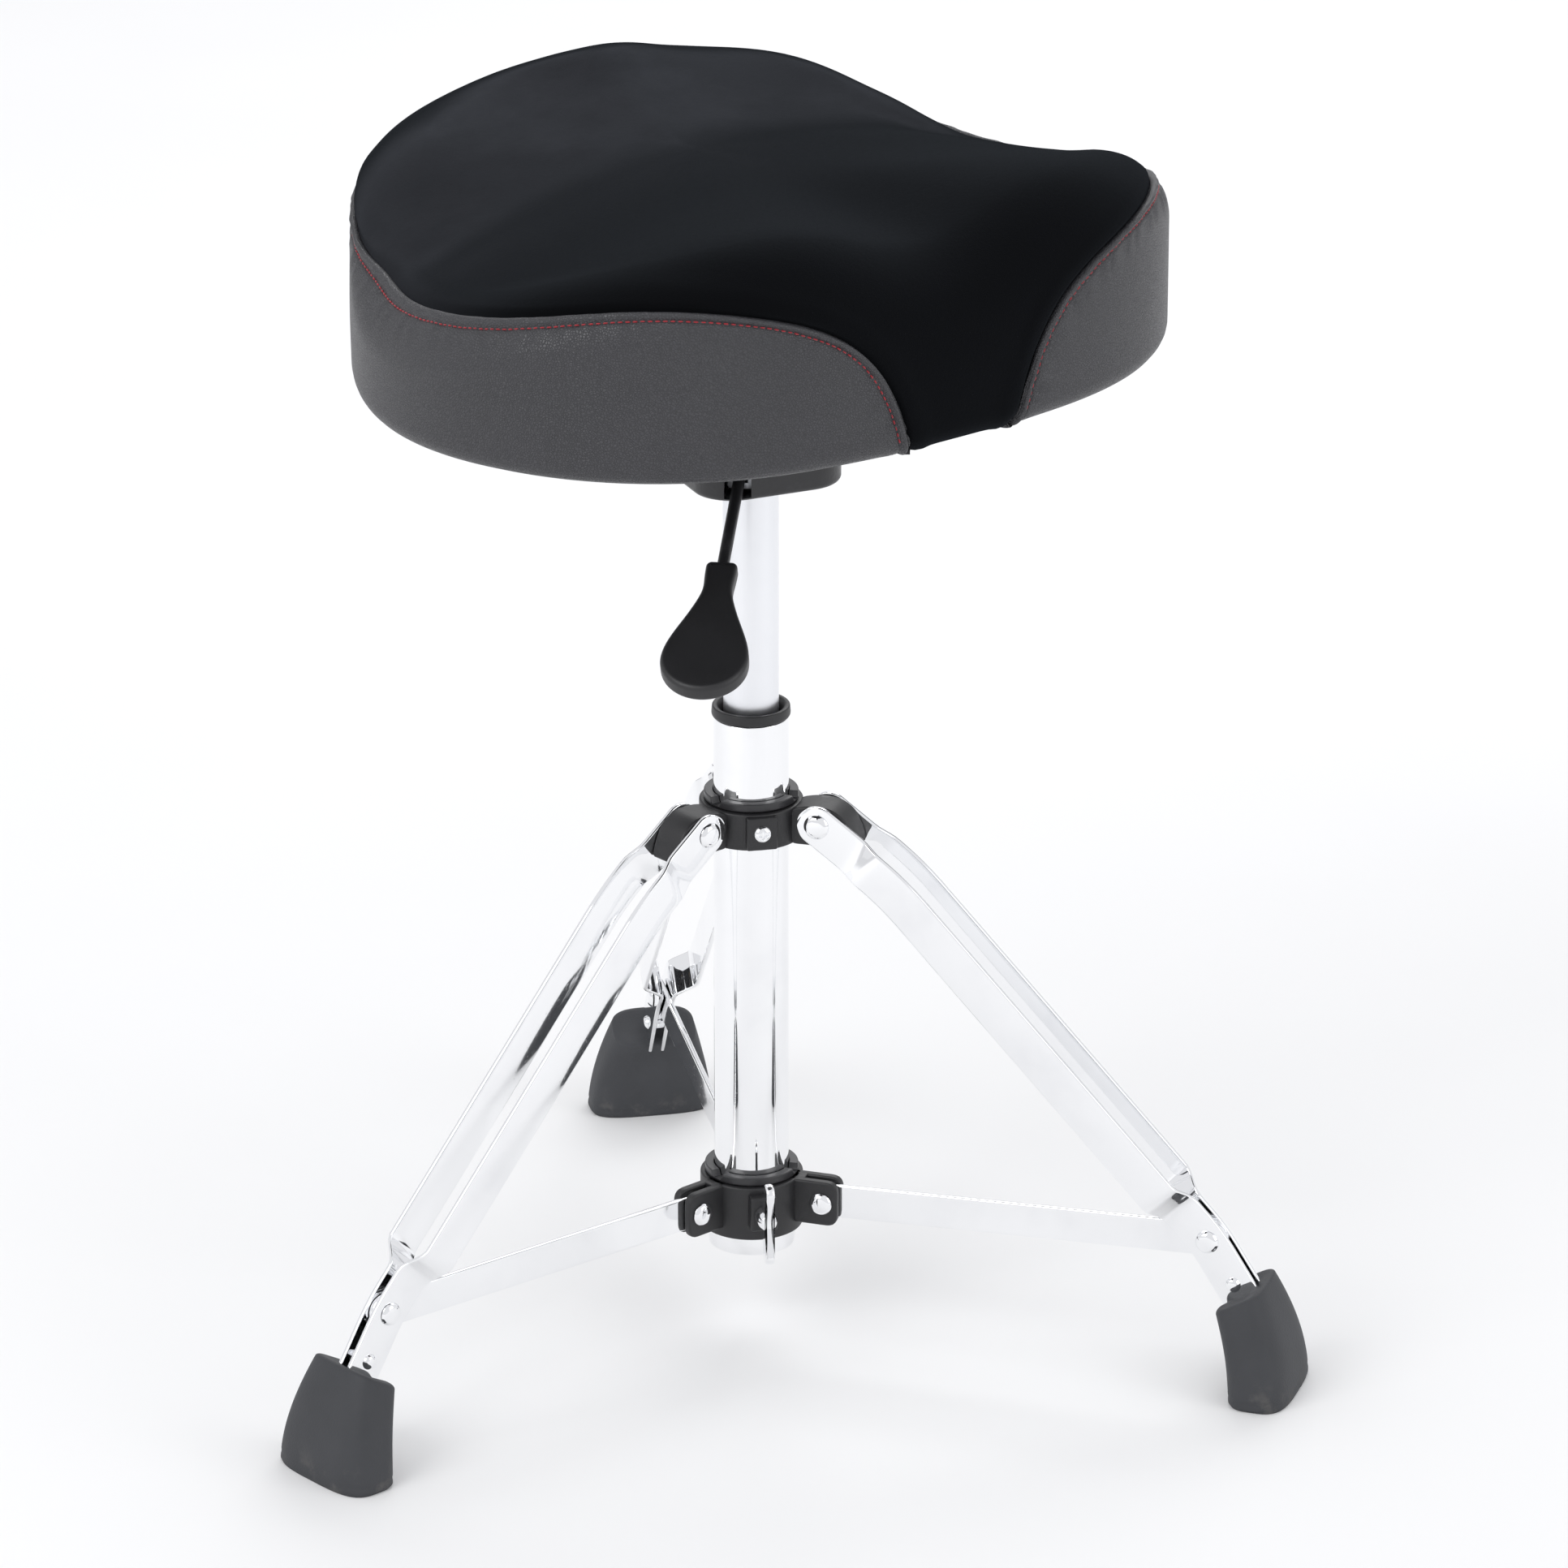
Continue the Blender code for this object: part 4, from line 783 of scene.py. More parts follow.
def leg_plate(side):
    """A rounded oblong section carried along the leg, half a width w(s) to each side of the
    centreline."""
    s, path, knee = leg_path()
    ahead = np.gradient(path, axis=0)
    ahead /= np.linalg.norm(ahead, axis=1, keepdims=True)
    spread = HEAD_SPREAD + (MAIN_SPREAD - HEAD_SPREAD) * smooth((s - 0.022) / 0.013)
    spread += (TOE_SPREAD - MAIN_SPREAD) * smooth((s - knee + 0.035) / 0.015)
    half, thick = LEG_WIDTH / 2, LEG_PLATE / 2
    section = eased([(half, thick), (-half, thick), (-half, -thick), (half, -thick)], 0.0009, 4,
                    ring=True)
    width = np.sqrt(np.maximum(1 - (np.minimum(s, 0) / half) ** 2, 0.0))
    centre = np.stack([path[:, 0], side * spread, path[:, 1]], -1)
    across = np.stack([-ahead[:, 1], np.zeros(len(s)), ahead[:, 0]], -1)
    outward = np.broadcast_to((0.0, 1.0, 0.0), across.shape)
    return carried(section, centre, across, outward, width)


for number, leg in enumerate(LEGS, 1):
    for side, letter in ((1, "left"), (-1, "right")):
        points = around_axis(leg_plate(side), leg)
        piece(f"leg_{number}_plate_{letter}" + FINE, f"leg_{number}", "chrome",
              *shell(points, capped=True))
print("leg length", round(leg_path()[0][-1], 4))

# %% [markdown]
# ## Rivets and struts
# A rivet is a pin with a low domed head on each side. The strut is a flat bar with round ends, which
# pushes the legs open as the lower hub slides.

# %% Rivets
def rivet(name, body, angle, at, seat, head, inner=None, side=1):
    """A domed rivet across the leg's plane. With inner, it is only the half on one side."""
    dome = [(0, seat + 0.0026), (head * 0.75, seat + 0.0020), (head, seat + 0.0004), (head, seat),
            (0.0039, seat)]
    tail = [(0.0039, inner), (0, inner)] if inner is not None else [(r, -z) for r, z in reversed(dome)]
    grid = turned(eased(dome + tail, 0.0011, 3), 40)[..., (0, 2, 1)] * (1, side, 1) + (at[0], 0, at[1])
    piece(name + FINE, body, "chrome", *shell(around_axis(grid, angle)))


for number, leg in enumerate(LEGS, 1):
    rivet(f"leg_{number}_pivot_rivet", f"leg_{number}", leg, PIVOT, HEAD_SPREAD + LEG_PLATE / 2 + 0.0003,
          0.0065)
    rivet(f"strut_{number}_rivet", "lower_hub", leg, SWING, LUG_HALF + 0.0003, 0.0060)
    for side, letter in ((1, "left"), (-1, "right")):
        rivet(f"leg_{number}_knee_rivet_{letter}", f"leg_{number}", leg, KNEE,
              TOE_SPREAD + LEG_PLATE / 2 + 0.0003,
              0.0060, TOE_SPREAD - LEG_PLATE / 2 + 0.0001, side)
    rivet(f"leg_{number}_toe_rivet", f"leg_{number}", leg, MOUTH - TOE * 0.0075,
          TOE_SPREAD + LEG_PLATE / 2, 0.0040)

# %% Struts
strut = KNEE - SWING
reach, rise = np.hypot(*strut), np.arctan2(strut[1], strut[0])
bar = np.concatenate([arc((0, 0), STRUT_WIDTH / 2, 90, 270, 24),
                      arc((reach, 0), STRUT_WIDTH / 2, -90, 90, 24)])
tilt = np.array(((np.cos(rise), np.sin(rise)), (-np.sin(rise), np.cos(rise))))
strut_grid = upright(slab(bar @ tilt + SWING, STRUT_PLATE, 0.0009))
for number, leg in enumerate(LEGS, 1):
    piece(f"strut_{number}" + FINE, f"strut_{number}", "chrome",
          *shell(around_axis(strut_grid, leg), capped=True))
print("strut reach", round(reach, 4))

# %% [markdown]
# ## Rubber feet
# A foot is a solid rubber shoe, wide at the sole and drawn up to a slanting top that grips the two
# plates. Its levels are rounded oblongs between a slightly hollow inner face and a bulging outer face, so
# it is one function of the level and the turn. A groove runs round it just above the sole, and a mouth is
# pressed into the inner face under the plates.

# %% Feet
FOOT_WIDTH = np.ptp(box("leg_3_foot"), axis=0)[1]


def foot_grid():
    """Level t from sole to top, turn a: centre(t) + half(t) cos a / q + width(t) sin a / q, where
    q = (|cos a|^3.4 + |sin a|^3.4)^(1/3.4), with its edges rounded and its inner face pressed in."""
    t = np.concatenate([[0], 0.03 + 0.93 * np.linspace(0, 1, 44)])
    turn = np.linspace(0, 2 * np.pi, 128, endpoint=False)
    inner = np.stack([FOOT_REACH - FOOT_DEPTH / 2 - 0.0096 * t + 0.002 * np.sin(np.pi * t),
                      (FOOT_HEIGHT - 0.015) * t], -1)
    outer = np.stack([FOOT_REACH + FOOT_DEPTH / 2 - 0.018 * t ** 1.8, FOOT_HEIGHT * t], -1)
    wide = FOOT_WIDTH / 2 - 0.0116 * t ** 1.6
    c, s = np.cos(turn), np.sin(turn)
    q = (np.abs(c) ** 3.4 + np.abs(s) ** 3.4) ** (-1 / 3.4)
    middle, half = (inner + outer) / 2, (outer - inner) / 2
    plan = middle[:, None] + half[:, None] * (c * q)[None, :, None]
    grid = np.stack([plan[..., 0], wide[:, None] * s * q, plan[..., 1]], -1)
    pinch = np.where(t < 0.01, 0.965, 1.0)[:, None] - 0.012 * np.exp(-((t[:, None] - 0.085) / 0.016) ** 2)
    core = grid.mean(1, keepdims=True)
    grid = core + (grid - core) * (1, 1, 0) * pinch[..., None] + (grid - core) * (0, 0, 1)
    below = smooth((t[:, None] - 0.45) / 0.35) * np.clip(-c, 0, 1) ** 0.5
    hollow = np.exp(-(grid[..., 1] / 0.011) ** 4) * below
    grid[..., 0] += 0.0038 * hollow
    return round_top(grid)


def round_top(grid, ease=0.0035, steps=6):
    """Closes the top: rows drawn in by ease (1 - cos a) and raised by ease sin a, then a slightly sunk
    middle."""
    top, rim = grid[-1], grid[-1].mean(0)
    slope = top - rim
    size = np.linalg.norm(slope, axis=1, keepdims=True)
    a = np.linspace(0, np.pi / 2, steps + 1)[1:, None, None]
    rise = (grid[-1] - grid[-2]).mean(0)
    rising = rise / np.linalg.norm(rise) * ease * 0.6 * np.sin(a)
    rows = top - slope / size * ease * (1 - np.cos(a)) + rising
    inner = rim + (rows[-1] - rim) * np.array((0.6, 0.0))[:, None, None]
    base = np.repeat(grid[:1].mean(1, keepdims=True), grid.shape[1], axis=1)
    return np.concatenate([base, grid, rows, inner])


for number, leg in enumerate(LEGS, 1):
    piece(f"leg_{number}_foot" + FINE, f"leg_{number}", "foot_rubber",
          *shell(around_axis(foot_grid(), leg)))
print("feet at", round(FOOT_REACH, 4))

# %% [markdown]
# ## Gas lift
# The satin cylinder carries the seat and slides over a chromed rod that stands on the column's foot. Only
# the cylinder shows. The rod's end and its clip can be seen from below.

# %% Gas cylinder and rod
cylinder_low, cylinder_high = box("gas_cylinder")
turned_piece("gas_cylinder", "seat", "satin_steel",
             [(CYLINDER - 0.0015, cylinder_low[2]), (CYLINDER - 0.0015, cylinder_high[2]),
              (CYLINDER - 0.0014, cylinder_high[2]),
              (CYLINDER, cylinder_high[2] - 0.0145), (CYLINDER, cylinder_low[2])], 0.0006)
rod_low, rod_high = box("piston_rod")
clip_low, clip_high = box("rod_clip")
shoulder = box("thrust_bearing")[1][2] + 0.0003
turned_piece("piston_rod", "lift_rod", "chrome",
             [(0, rod_high[2]), (0.005, rod_high[2]), (0.005, shoulder + 0.004),
              (0.009, shoulder + 0.004), (0.009, shoulder),
              (0.005, shoulder), (0.005, rod_low[2]), (0, rod_low[2])], 0.0006, ring=False, count=48)
turned_piece("rod_clip", "lift_rod", "steel",
             [(0.0053, clip_high[2]), (0.0085, clip_high[2]), (0.0085, clip_low[2]),
              (0.0053, clip_low[2])], 0.0004,
             count=48)
print("cylinder", round(cylinder_low[2], 4), "to", round(cylinder_high[2], 4))

# %% [markdown]
# ## Release housing
# A black box under the seat holds the valve and the lever's pivot. It is a loft: a rounded square that is
# carried up the wall, over its thickness and down the inside to the hole for the cylinder. A ruler-sharp
# bottom edge would look cut out of card, so the edge has its own radius. The slot for the lever is a
# Boolean, because it crosses both skins of the wall.

# %% Housing with its slot
HOUSING_LOW, HOUSING_HIGH = (corner[2] for corner in box("release_housing"))
HOUSING_HALF, HOUSING_TURN = 0.039, np.radians(-18)


def rounded_square(half, corner, count=14):
    """The outline of a square with round corners, which starts on its +X side."""
    spots = [(1, 1), (-1, 1), (-1, -1), (1, -1)]
    return np.concatenate([arc((x * (half - corner), y * (half - corner)), corner, 90 * k, 90 * k + 90,
                               count)
                           for k, (x, y) in enumerate(spots)])


def housing_grid(wall=0.0025, floor=0.003, ease=0.003):
    """Rows: the hole's edge, the floor, the rounded bottom edge, the wall, its top and the way back
    inside."""
    outer = rounded_square(HOUSING_HALF, 0.020)
    turn = np.arctan2(outer[:, 1], outer[:, 0])
    hole = (CYLINDER + 0.0033) * np.stack([np.cos(turn), np.sin(turn)], -1)
    outward = outer - outer * 0.5 / np.maximum(np.abs(outer).max(1, keepdims=True) / HOUSING_HALF, 0.5)
    outward /= np.linalg.norm(outward, axis=1, keepdims=True)
    a = np.linspace(0, np.pi / 2, 7)
    rows = [(hole, HOUSING_LOW)]
    rows += [(outer - outward * ease * (1 - np.sin(x)), HOUSING_LOW + ease * (1 - np.cos(x))) for x in a]
    rows += [(outer, HOUSING_HIGH - 0.0006), (outer - outward * 0.0006, HOUSING_HIGH),
             (outer - outward * wall, HOUSING_HIGH), (outer - outward * wall, HOUSING_LOW + floor),
             (hole, HOUSING_LOW + floor)]
    return np.stack([np.column_stack([line, np.full(len(line), z)]) for line, z in rows])


def cut_away(target, grid):
    """Cuts a closed, capped grid out of a piece and throws the tool away."""
    mesh = bpy.data.meshes.new("tool")
    points, faces = shell(grid, capped=True)
    mesh.from_pydata(points.tolist(), [], faces)
    tool = bpy.data.objects.new("tool", mesh)
    bpy.context.scene.collection.objects.link(tool)
    work = bmesh.new()
    work.from_mesh(mesh)
    bmesh.ops.recalc_face_normals(work, faces=work.faces)
    work.to_mesh(mesh)
    work.free()
    step = target.modifiers.new("cut", "BOOLEAN")
    step.operation, step.object = "DIFFERENCE", tool
    bake(target)
    bpy.data.objects.remove(tool, do_unlink=True)


def bake(target):
    """Replaces a piece's mesh with what its modifiers make of it."""
    graph = bpy.context.evaluated_depsgraph_get()
    made = bpy.data.meshes.new_from_object(target.evaluated_get(graph))
    target.modifiers.clear()
    target.data = made


housing = piece("release_housing" + FINE, "seat", "black_paint",
                *shell(around_axis(housing_grid(), HOUSING_TURN), along=True))
window = eased([(0.030, -0.0065), (0.055, -0.0065), (0.055, 0.0065), (0.030, 0.0065)], 0.0015, ring=True)
lever_z = joint("lever_lift")[0][2]
slot_low, slot_high = HOUSING_LOW + 0.0015, lever_z - 0.004
slot_grid = np.stack([np.column_stack([window, np.full(len(window), z)]) for z in (slot_low, slot_high)])
cut_away(housing, around_axis(slot_grid, LEVER_TURN))
print("housing", round(HOUSING_LOW, 4), "to", round(HOUSING_HIGH, 4), "faces", len(housing.data.polygons))

# %% [markdown]
# ## Mounting plate and bolts
# A pressed steel plate joins the housing to the seat's board with four bolts.

# %% Plate and bolts
plate_low, plate_high = box("seat_plate")
plate_size = (plate_high - plate_low) / 2
plate_line = eased([(-plate_size[0], -plate_size[1]), (plate_size[0], -plate_size[1]),
                    (plate_size[0], plate_size[1]),
                    (-plate_size[0], plate_size[1])], 0.012, 10, ring=True)
plate_grid = slab(plate_line, 2 * plate_size[2], 0.0007) + (plate_low + plate_high) / 2
piece("seat_plate" + FINE, "seat", "black_paint", *shell(plate_grid, capped=True))
for number in (1, 2, 3, 4):
    low, high = box(f"seat_bolt_{number}")
    under = plate_low[2]
    hexagon = np.radians(np.arange(6) * 60)
    nut = eased(0.0055 * np.stack([np.cos(hexagon), np.sin(hexagon)], -1), 0.0004, 2, ring=True)
    centre = (low + high) / 2
    hexhead = slab(nut, 0.0034, 0.0005) + (centre[0], centre[1], under - 0.0023)
    washer = turned([(0, under), (0.0068, under), (0.0068, under - 0.0008), (0, under - 0.0008)],
                    32) + centre * (1, 1, 0)
    shank = turned([(0, high[2]), (0.003, high[2]), (0.003, under - 0.001), (0, under - 0.001)],
                   24) + centre * (1, 1, 0)
    piece(f"seat_bolt_{number}" + FINE, "seat", "steel",
          *together(shell(hexhead, capped=True), shell(washer), shell(shank)))
print("plate", (2 * plate_size).round(4))

# %% [markdown]
# ## Release lever
# A bent rod comes out of the housing and slopes down to a flat moulded paddle. The rod is a circle
# carried along a path with rounded bends. The paddle's outline is one width function: a collar round the
# rod, a waist, and a swell that ends in a circle.

# %% Lever rod
FALL = np.radians(25)
DOWN = np.array((np.cos(FALL), -np.sin(FALL)))
leave = np.array((HOUSING_HALF + 0.002, HOUSING_LOW + 0.0084))
pin_at = from_axis(joint("lever_lift")[0])[0]
corners = [(-0.004, lever_z + 0.0009), (pin_at + 0.0035, lever_z), leave - DOWN * 0.002,
           leave + DOWN * 0.004,
           leave + DOWN * 0.072]
path = eased(corners, (0, 0.006, 0.006, 0.006, 0), 10)
ahead = np.gradient(path, axis=0)
ahead /= np.linalg.norm(ahead, axis=1, keepdims=True)
centre = np.stack([path[:, 0], np.zeros(len(path)), path[:, 1]], -1)
upward = np.stack([-ahead[:, 1], np.zeros(len(path)), ahead[:, 0]], -1)
rod = carried(arc((0, 0), 0.003, 0, 345, 24), centre, np.broadcast_to((0.0, 1.0, 0.0), upward.shape),
              upward)
eye = turned(eased([(0, 0.0031), (0.0048, 0.0031), (0.0048, -0.0031), (0, -0.0031)], 0.0006), 40)
eye = eye[..., (0, 2, 1)]
eye = eye + (pin_at, 0, lever_z)
piece("lever_rod" + FINE, "lever", "black_paint",
      *together(shell(around_axis(rod, LEVER_TURN), capped=True), shell(around_axis(eye, LEVER_TURN))))

# %% Lever paddle
start = leave + DOWN * 0.058
LENGTH = (0.173 - start[0]) / np.cos(FALL)
ROUND, NECK = 0.0215, 0.0078


def paddle_outline(count=70):
    """Half width at x: the neck, with rounded shoulders, then a soft swell into the end circle."""
    turn = LENGTH - ROUND
    x = np.concatenate([0.003 * (1 - np.cos(np.linspace(0, np.pi / 2, 8))),
                        np.linspace(0.0035, turn, count)])
    waist = NECK - 0.0006 * np.exp(-((x - turn * 0.28) / 0.008) ** 2)
    half = waist + (ROUND - NECK) * smooth((x - turn * 0.20) / (turn * 0.80)) ** 1.15
    half -= 0.003 * (1 - np.sqrt(np.clip(1 - (1 - np.minimum(x, 0.003) / 0.003) ** 2, 0, 1)))
    side = np.stack([x, half], -1)
    return np.concatenate([side[::-1], side * (1, -1), arc((turn, 0), ROUND, -88, 88, 40)])


blade = slab(paddle_outline(), 0.0092, 0.0026, 8)
tip = np.array(((np.cos(FALL), 0, -np.sin(FALL)), (0, 1, 0), (np.sin(FALL), 0, np.cos(FALL))))
blade = blade @ tip + (start[0], 0, start[1])
piece("lever_paddle" + FINE, "lever", "black_plastic",
      *shell(around_axis(blade, LEVER_TURN), capped=True), sharp=55)
print("paddle length", round(LENGTH, 4))

# %% [markdown]
# ## The seat's shape
# The seat is drawn in polar form: a turn, measured from the front, and how far in or how high a point
# lies. The plan is a short cosine series, wide at the rear and narrow at the front. The edge's height is
# another, with a raised back, two front lobes and a dip between. These are the working model's own
# formulas, so the looks and the model agree everywhere.

# %% Formulas of the seat
SEAT_Z = box("seat_foam")[0][2] - 0.0167
SEAT_BACK, SEAT_TURN = 0.0426, np.radians(-3.3)
SERIES = (0.194, 0.0457, -0.0169, -0.0058, -0.0069, 0.0034, -0.0021)
RIM_SERIES = (0.1063, 0.0007, 0.0295, 0.0079, -0.0031, -0.0024, 0.0032, 0.0003, -0.001)
TOP_ROUND, TOP_DROP, SOLE_ROUND, CROWN = 0.038, 0.034, 0.012, 0.097
TURN_UNDER = 0.045
FRONT_GAP = np.radians(8.9)


def plan_radius(phi):
    return sum(a * np.cos(k * phi) for k, a in enumerate(SERIES))


SPIN = np.linspace(0, 2 * np.pi, 720)
STRETCH = np.array((0.4335 / np.ptp(plan_radius(SPIN) * np.sin(SPIN)),
                    0.3361 / (plan_radius(0) + plan_radius(np.pi))))


def rim_height(phi):
    """Height of the edge: a cosine series, plus a little at the waist, less a dip at the front."""
    series = sum(a * np.cos(k * phi) for k, a in enumerate(RIM_SERIES))
    waist = 0.004 * np.exp(-((np.abs(phi) - np.radians(80)) / np.radians(13)) ** 2)
    return series + waist - 0.047 * np.exp(-(phi / 0.42) ** 2)


def seam_height(phi):
    """Where vinyl ends and velour begins: 0 at the tongue, a steep climb, a front lobe and a slow
    rise."""
    side = np.degrees(np.abs(phi))
    rise = 1 - np.exp(-(np.maximum(side - 8.9, 0) / 4.9) ** 0.9)
    lobe = 0.022 * np.exp(-((side - 41) / 24) ** 2)
    height = rise * (0.069 + lobe + 0.012 * smooth((side - 85) / 50))
    return height - 0.0015 * np.log(1 + np.exp((height - rim_height(phi) + 0.003) / 0.0015))


def wall_inset(height, rim):
    """How far the wall stands inside the plan: two quarter rounds, at the sole and at the top."""
    sole = SOLE_ROUND - np.sqrt(np.clip(SOLE_ROUND ** 2 - np.maximum(SOLE_ROUND - height, 0) ** 2, 0,
                                        None))
    rise = np.clip((height - rim + TOP_DROP) / TOP_DROP, 0, 1)
    return sole + TOP_ROUND * (1 - np.sqrt(1 - rise ** 2))


def seat_point(phi, inset, height):
    """x = sx r sin(phi), y = back - sy r cos(phi), with r the plan radius less the inset, turned with
    the seat."""
    radius = plan_radius(phi) - inset
    x, y = STRETCH[0] * radius * np.sin(phi), SEAT_BACK - STRETCH[1] * radius * np.cos(phi)
    return around_axis(np.stack([x, y, SEAT_Z + height * np.ones_like(radius)], -1), SEAT_TURN)


def seat_local(points):
    """The way back: turn from the front, radius before stretching, and height over the sole."""
    x, y, z = np.moveaxis(around_axis(points - AXIS, -SEAT_TURN) - AXIS, -1, 0)
    x, y = x / STRETCH[0], (y - SEAT_BACK) / STRETCH[1]
    return np.arctan2(x, -y), np.hypot(x, y), z - SEAT_Z


def crown_height(phi, share, rim):
    """From the middle (share 0) to the edge (share 1), level where it meets the edge. The edge's faster
    waves die away sooner: wave k falls with share^k instead of share^2, or they would meet in a star."""
    waves = sum(a * np.cos(k * phi) * (share ** k - share ** 2) for k,
                a in enumerate(RIM_SERIES) if k > 2)
    return CROWN + (rim - CROWN) * (share ** 2 + 2 * share ** 11 * (1 - share)) + waves


def crown_point(phi, share):
    rim = rim_height(phi)
    radius = (plan_radius(phi) - TOP_ROUND) * share
    return seat_point(phi, plan_radius(phi) - radius, crown_height(phi, share, rim))


print("seat stretch", STRETCH.round(4), "seam at the back", seam_height(np.pi).round(4))

# %% [markdown]
# ## Following the seam
# Seam, rolled edge and stitching all follow one line, so it is worked out once at even steps of its own
# length. Even steps in the turn would be wrong: near the tongue the seam climbs almost upright, and a
# whole stretch of it would fall between two columns.

# %% The seam line at even steps
def seam_turns(step):
    """Turns at even distances along the seam, from the tongue to the back."""
    fine = FRONT_GAP + (np.pi - FRONT_GAP) * np.linspace(0, 1, 6000) ** 1.6
    height = seam_height(fine)
    line = seat_point(fine, wall_inset(height, rim_height(fine)), height)
    length = np.append(0, np.cumsum(np.linalg.norm(np.diff(line, axis=0), axis=1)))
    count = int(length[-1] / step)
    return np.interp(np.linspace(0, length[-1], count), length, fine), length[-1]


def arc_length(phi):
    """Distance along the plan from the front, which flattens the wall out like paper: (arc, height)."""
    fine = np.linspace(-np.pi, np.pi, 2881)
    line = seat_point(fine, 0.0, 0.0)
    length = np.append(0, np.cumsum(np.linalg.norm(np.diff(line, axis=0), axis=1)))
    return np.interp(phi, fine, length) - np.interp(0.0, fine, length)


TURNS, SEAM_LENGTH = seam_turns(0.0019)
SEAM_FLAT = np.stack([arc_length(TURNS), seam_height(TURNS)], -1)
print("one seam is", round(SEAM_LENGTH, 3), "m long, in", len(TURNS), "steps")


# %% How far a point is from the seam
def seam_distance(phi, height):
    """Distance to the nearest point of the seam on the flattened wall, and that point's place along
    it."""
    flat = np.stack([arc_length(np.abs(phi)), height * np.ones_like(phi)], -1)
    flat = flat.reshape(-1, 2).astype(np.float32)
    seam = SEAM_FLAT.astype(np.float32)
    near, where = [], []
    for chunk in np.array_split(flat, max(1, len(flat) // 4000)):
        gap = np.hypot(chunk[:, None, 0] - seam[None, :, 0], chunk[:, None, 1] - seam[None, :, 1])
        near.append(gap.min(1))
        where.append(gap.argmin(1))
    return np.concatenate(near).reshape(phi.shape), np.concatenate(where).reshape(phi.shape) * 0.0019


# %% [markdown]
# ## Stuffing the pad
# Fabric over foam isn't a smooth solid: it swells between its seams and is drawn in along them. That
# could be sculpted, but a cloth simulation gives it for nothing. The whole seat is made as one closed
# pad, a little too small, and remeshed into even squares. Its points near the seam and under the board
# are pinned, and pressure blows up the rest. How far each point went is all that is kept. The fine
# covers, made later, are moved by the same amounts, so they keep their own grids and their seam.

# %% The pad before it is stuffed
SHRINK, LIMIT, VOXEL = 0.0016, 0.0036, 0.0055


def pad_grid(columns=160):
    """A closed pad: the sole from its middle, the wall, the rounded edge, and the crown to the
    middle."""
    phi = np.linspace(-np.pi, np.pi, columns, endpoint=False)[None, :]
    rim = rim_height(phi)
    reach = plan_radius(phi) - SOLE_ROUND
    sole = seat_point(phi, reach * np.linspace(1, 0, 14)[:, None] + SOLE_ROUND, 0.0 * phi)
    height = rim * np.sin(np.pi / 2 * np.linspace(0, 1, 30)[1:, None])
    wall = seat_point(phi + 0 * height, wall_inset(height, rim), height)
    crown = crown_point(phi + np.zeros((26, 1)), np.linspace(1, 0, 27)[1:, None])
    return np.concatenate([sole, wall, crown])


def mesh_arrays(mesh):
    """Points and normals of a mesh."""
    points, normals = (np.empty((len(mesh.vertices), 3), np.float32) for _ in range(2))
    mesh.vertices.foreach_get("co", points.ravel())
    mesh.vertices.foreach_get("normal", normals.ravel())
    return points, normals


def stuffed():
    """Runs the cloth and gives the pad's points before, and how far each one moved, at most LIMIT."""
    mesh = bpy.data.meshes.new("pad")
    points, faces = shell(pad_grid())
    mesh.from_pydata(points.tolist(), [], faces)
    work = bmesh.new()
    work.from_mesh(mesh)
    bmesh.ops.remove_doubles(work, verts=work.verts, dist=MERGE)
    bmesh.ops.recalc_face_normals(work, faces=work.faces)
    work.to_mesh(mesh)
    work.free()
    pad = bpy.data.objects.new("pad", mesh)
    bpy.context.scene.collection.objects.link(pad)
    remesh = pad.modifiers.new("even", "REMESH")
    remesh.mode, remesh.voxel_size = "VOXEL", VOXEL
    bake(pad)
    before, normals = mesh_arrays(pad.data)
    before = before - normals * SHRINK
    pad.data.vertices.foreach_set("co", before.ravel())
    phi, radius, height = seat_local(before)
    on_wall = radius > plan_radius(phi) - 0.026
    held = (height < 0.006) | (on_wall & (seam_distance(phi, height)[0] < 0.0042))
    group = pad.vertex_groups.new(name="held")
    group.add(np.flatnonzero(held).tolist(), 1.0, "REPLACE")
    cloth = pad.modifiers.new("stuffing", "CLOTH")
    cloth.settings.vertex_group_mass = "held"
    cloth.settings.use_pressure = True
    cloth.settings.uniform_pressure_force = 4
    cloth.settings.quality = 4
    cloth.settings.tension_stiffness = cloth.settings.compression_stiffness = 12
    cloth.settings.bending_stiffness = 4.0
    cloth.settings.effector_weights.gravity = 0
    cloth.collision_settings.use_collision = False
    for number in range(1, 21):
        bpy.context.scene.frame_set(number)
    after = mesh_arrays(pad.evaluated_get(bpy.context.evaluated_depsgraph_get()).data)[0]
    bpy.data.objects.remove(pad, do_unlink=True)
    bpy.context.scene.frame_set(1)
    moved = after - before
    far = np.maximum(np.linalg.norm(moved, axis=1, keepdims=True), 1e-9)
    moved = moved / far * LIMIT * np.tanh(far / LIMIT)
    return before.astype(np.float32), moved.astype(np.float32)


PAD = stuffed()
if PAD:
    print("pad points", len(PAD[0]), "mean move mm",
          (np.linalg.norm(PAD[1], axis=1).mean() * 1000).round(2))


# %% Moving a fine surface with the pad
def grid_normals(grid, turns=None):
    """Unit normals of a grid, from the slopes along its rows and columns. With turns, the grid closes
    round the seat, and its columns stand at those turns, which needn't be evenly spaced."""
    if turns is None:
        ahead = np.gradient(grid, axis=1)
    else:
        places = np.concatenate([turns[-1:] - 2 * np.pi, turns, turns[:1] + 2 * np.pi])
        ahead = np.gradient(np.concatenate([grid[:, -1:], grid, grid[:, :1]], 1), places, axis=1)[:, 1:-1]
    normal = np.cross(ahead, np.gradient(grid, axis=0))
    return normal / np.maximum(np.linalg.norm(normal, axis=-1, keepdims=True), 1e-12)


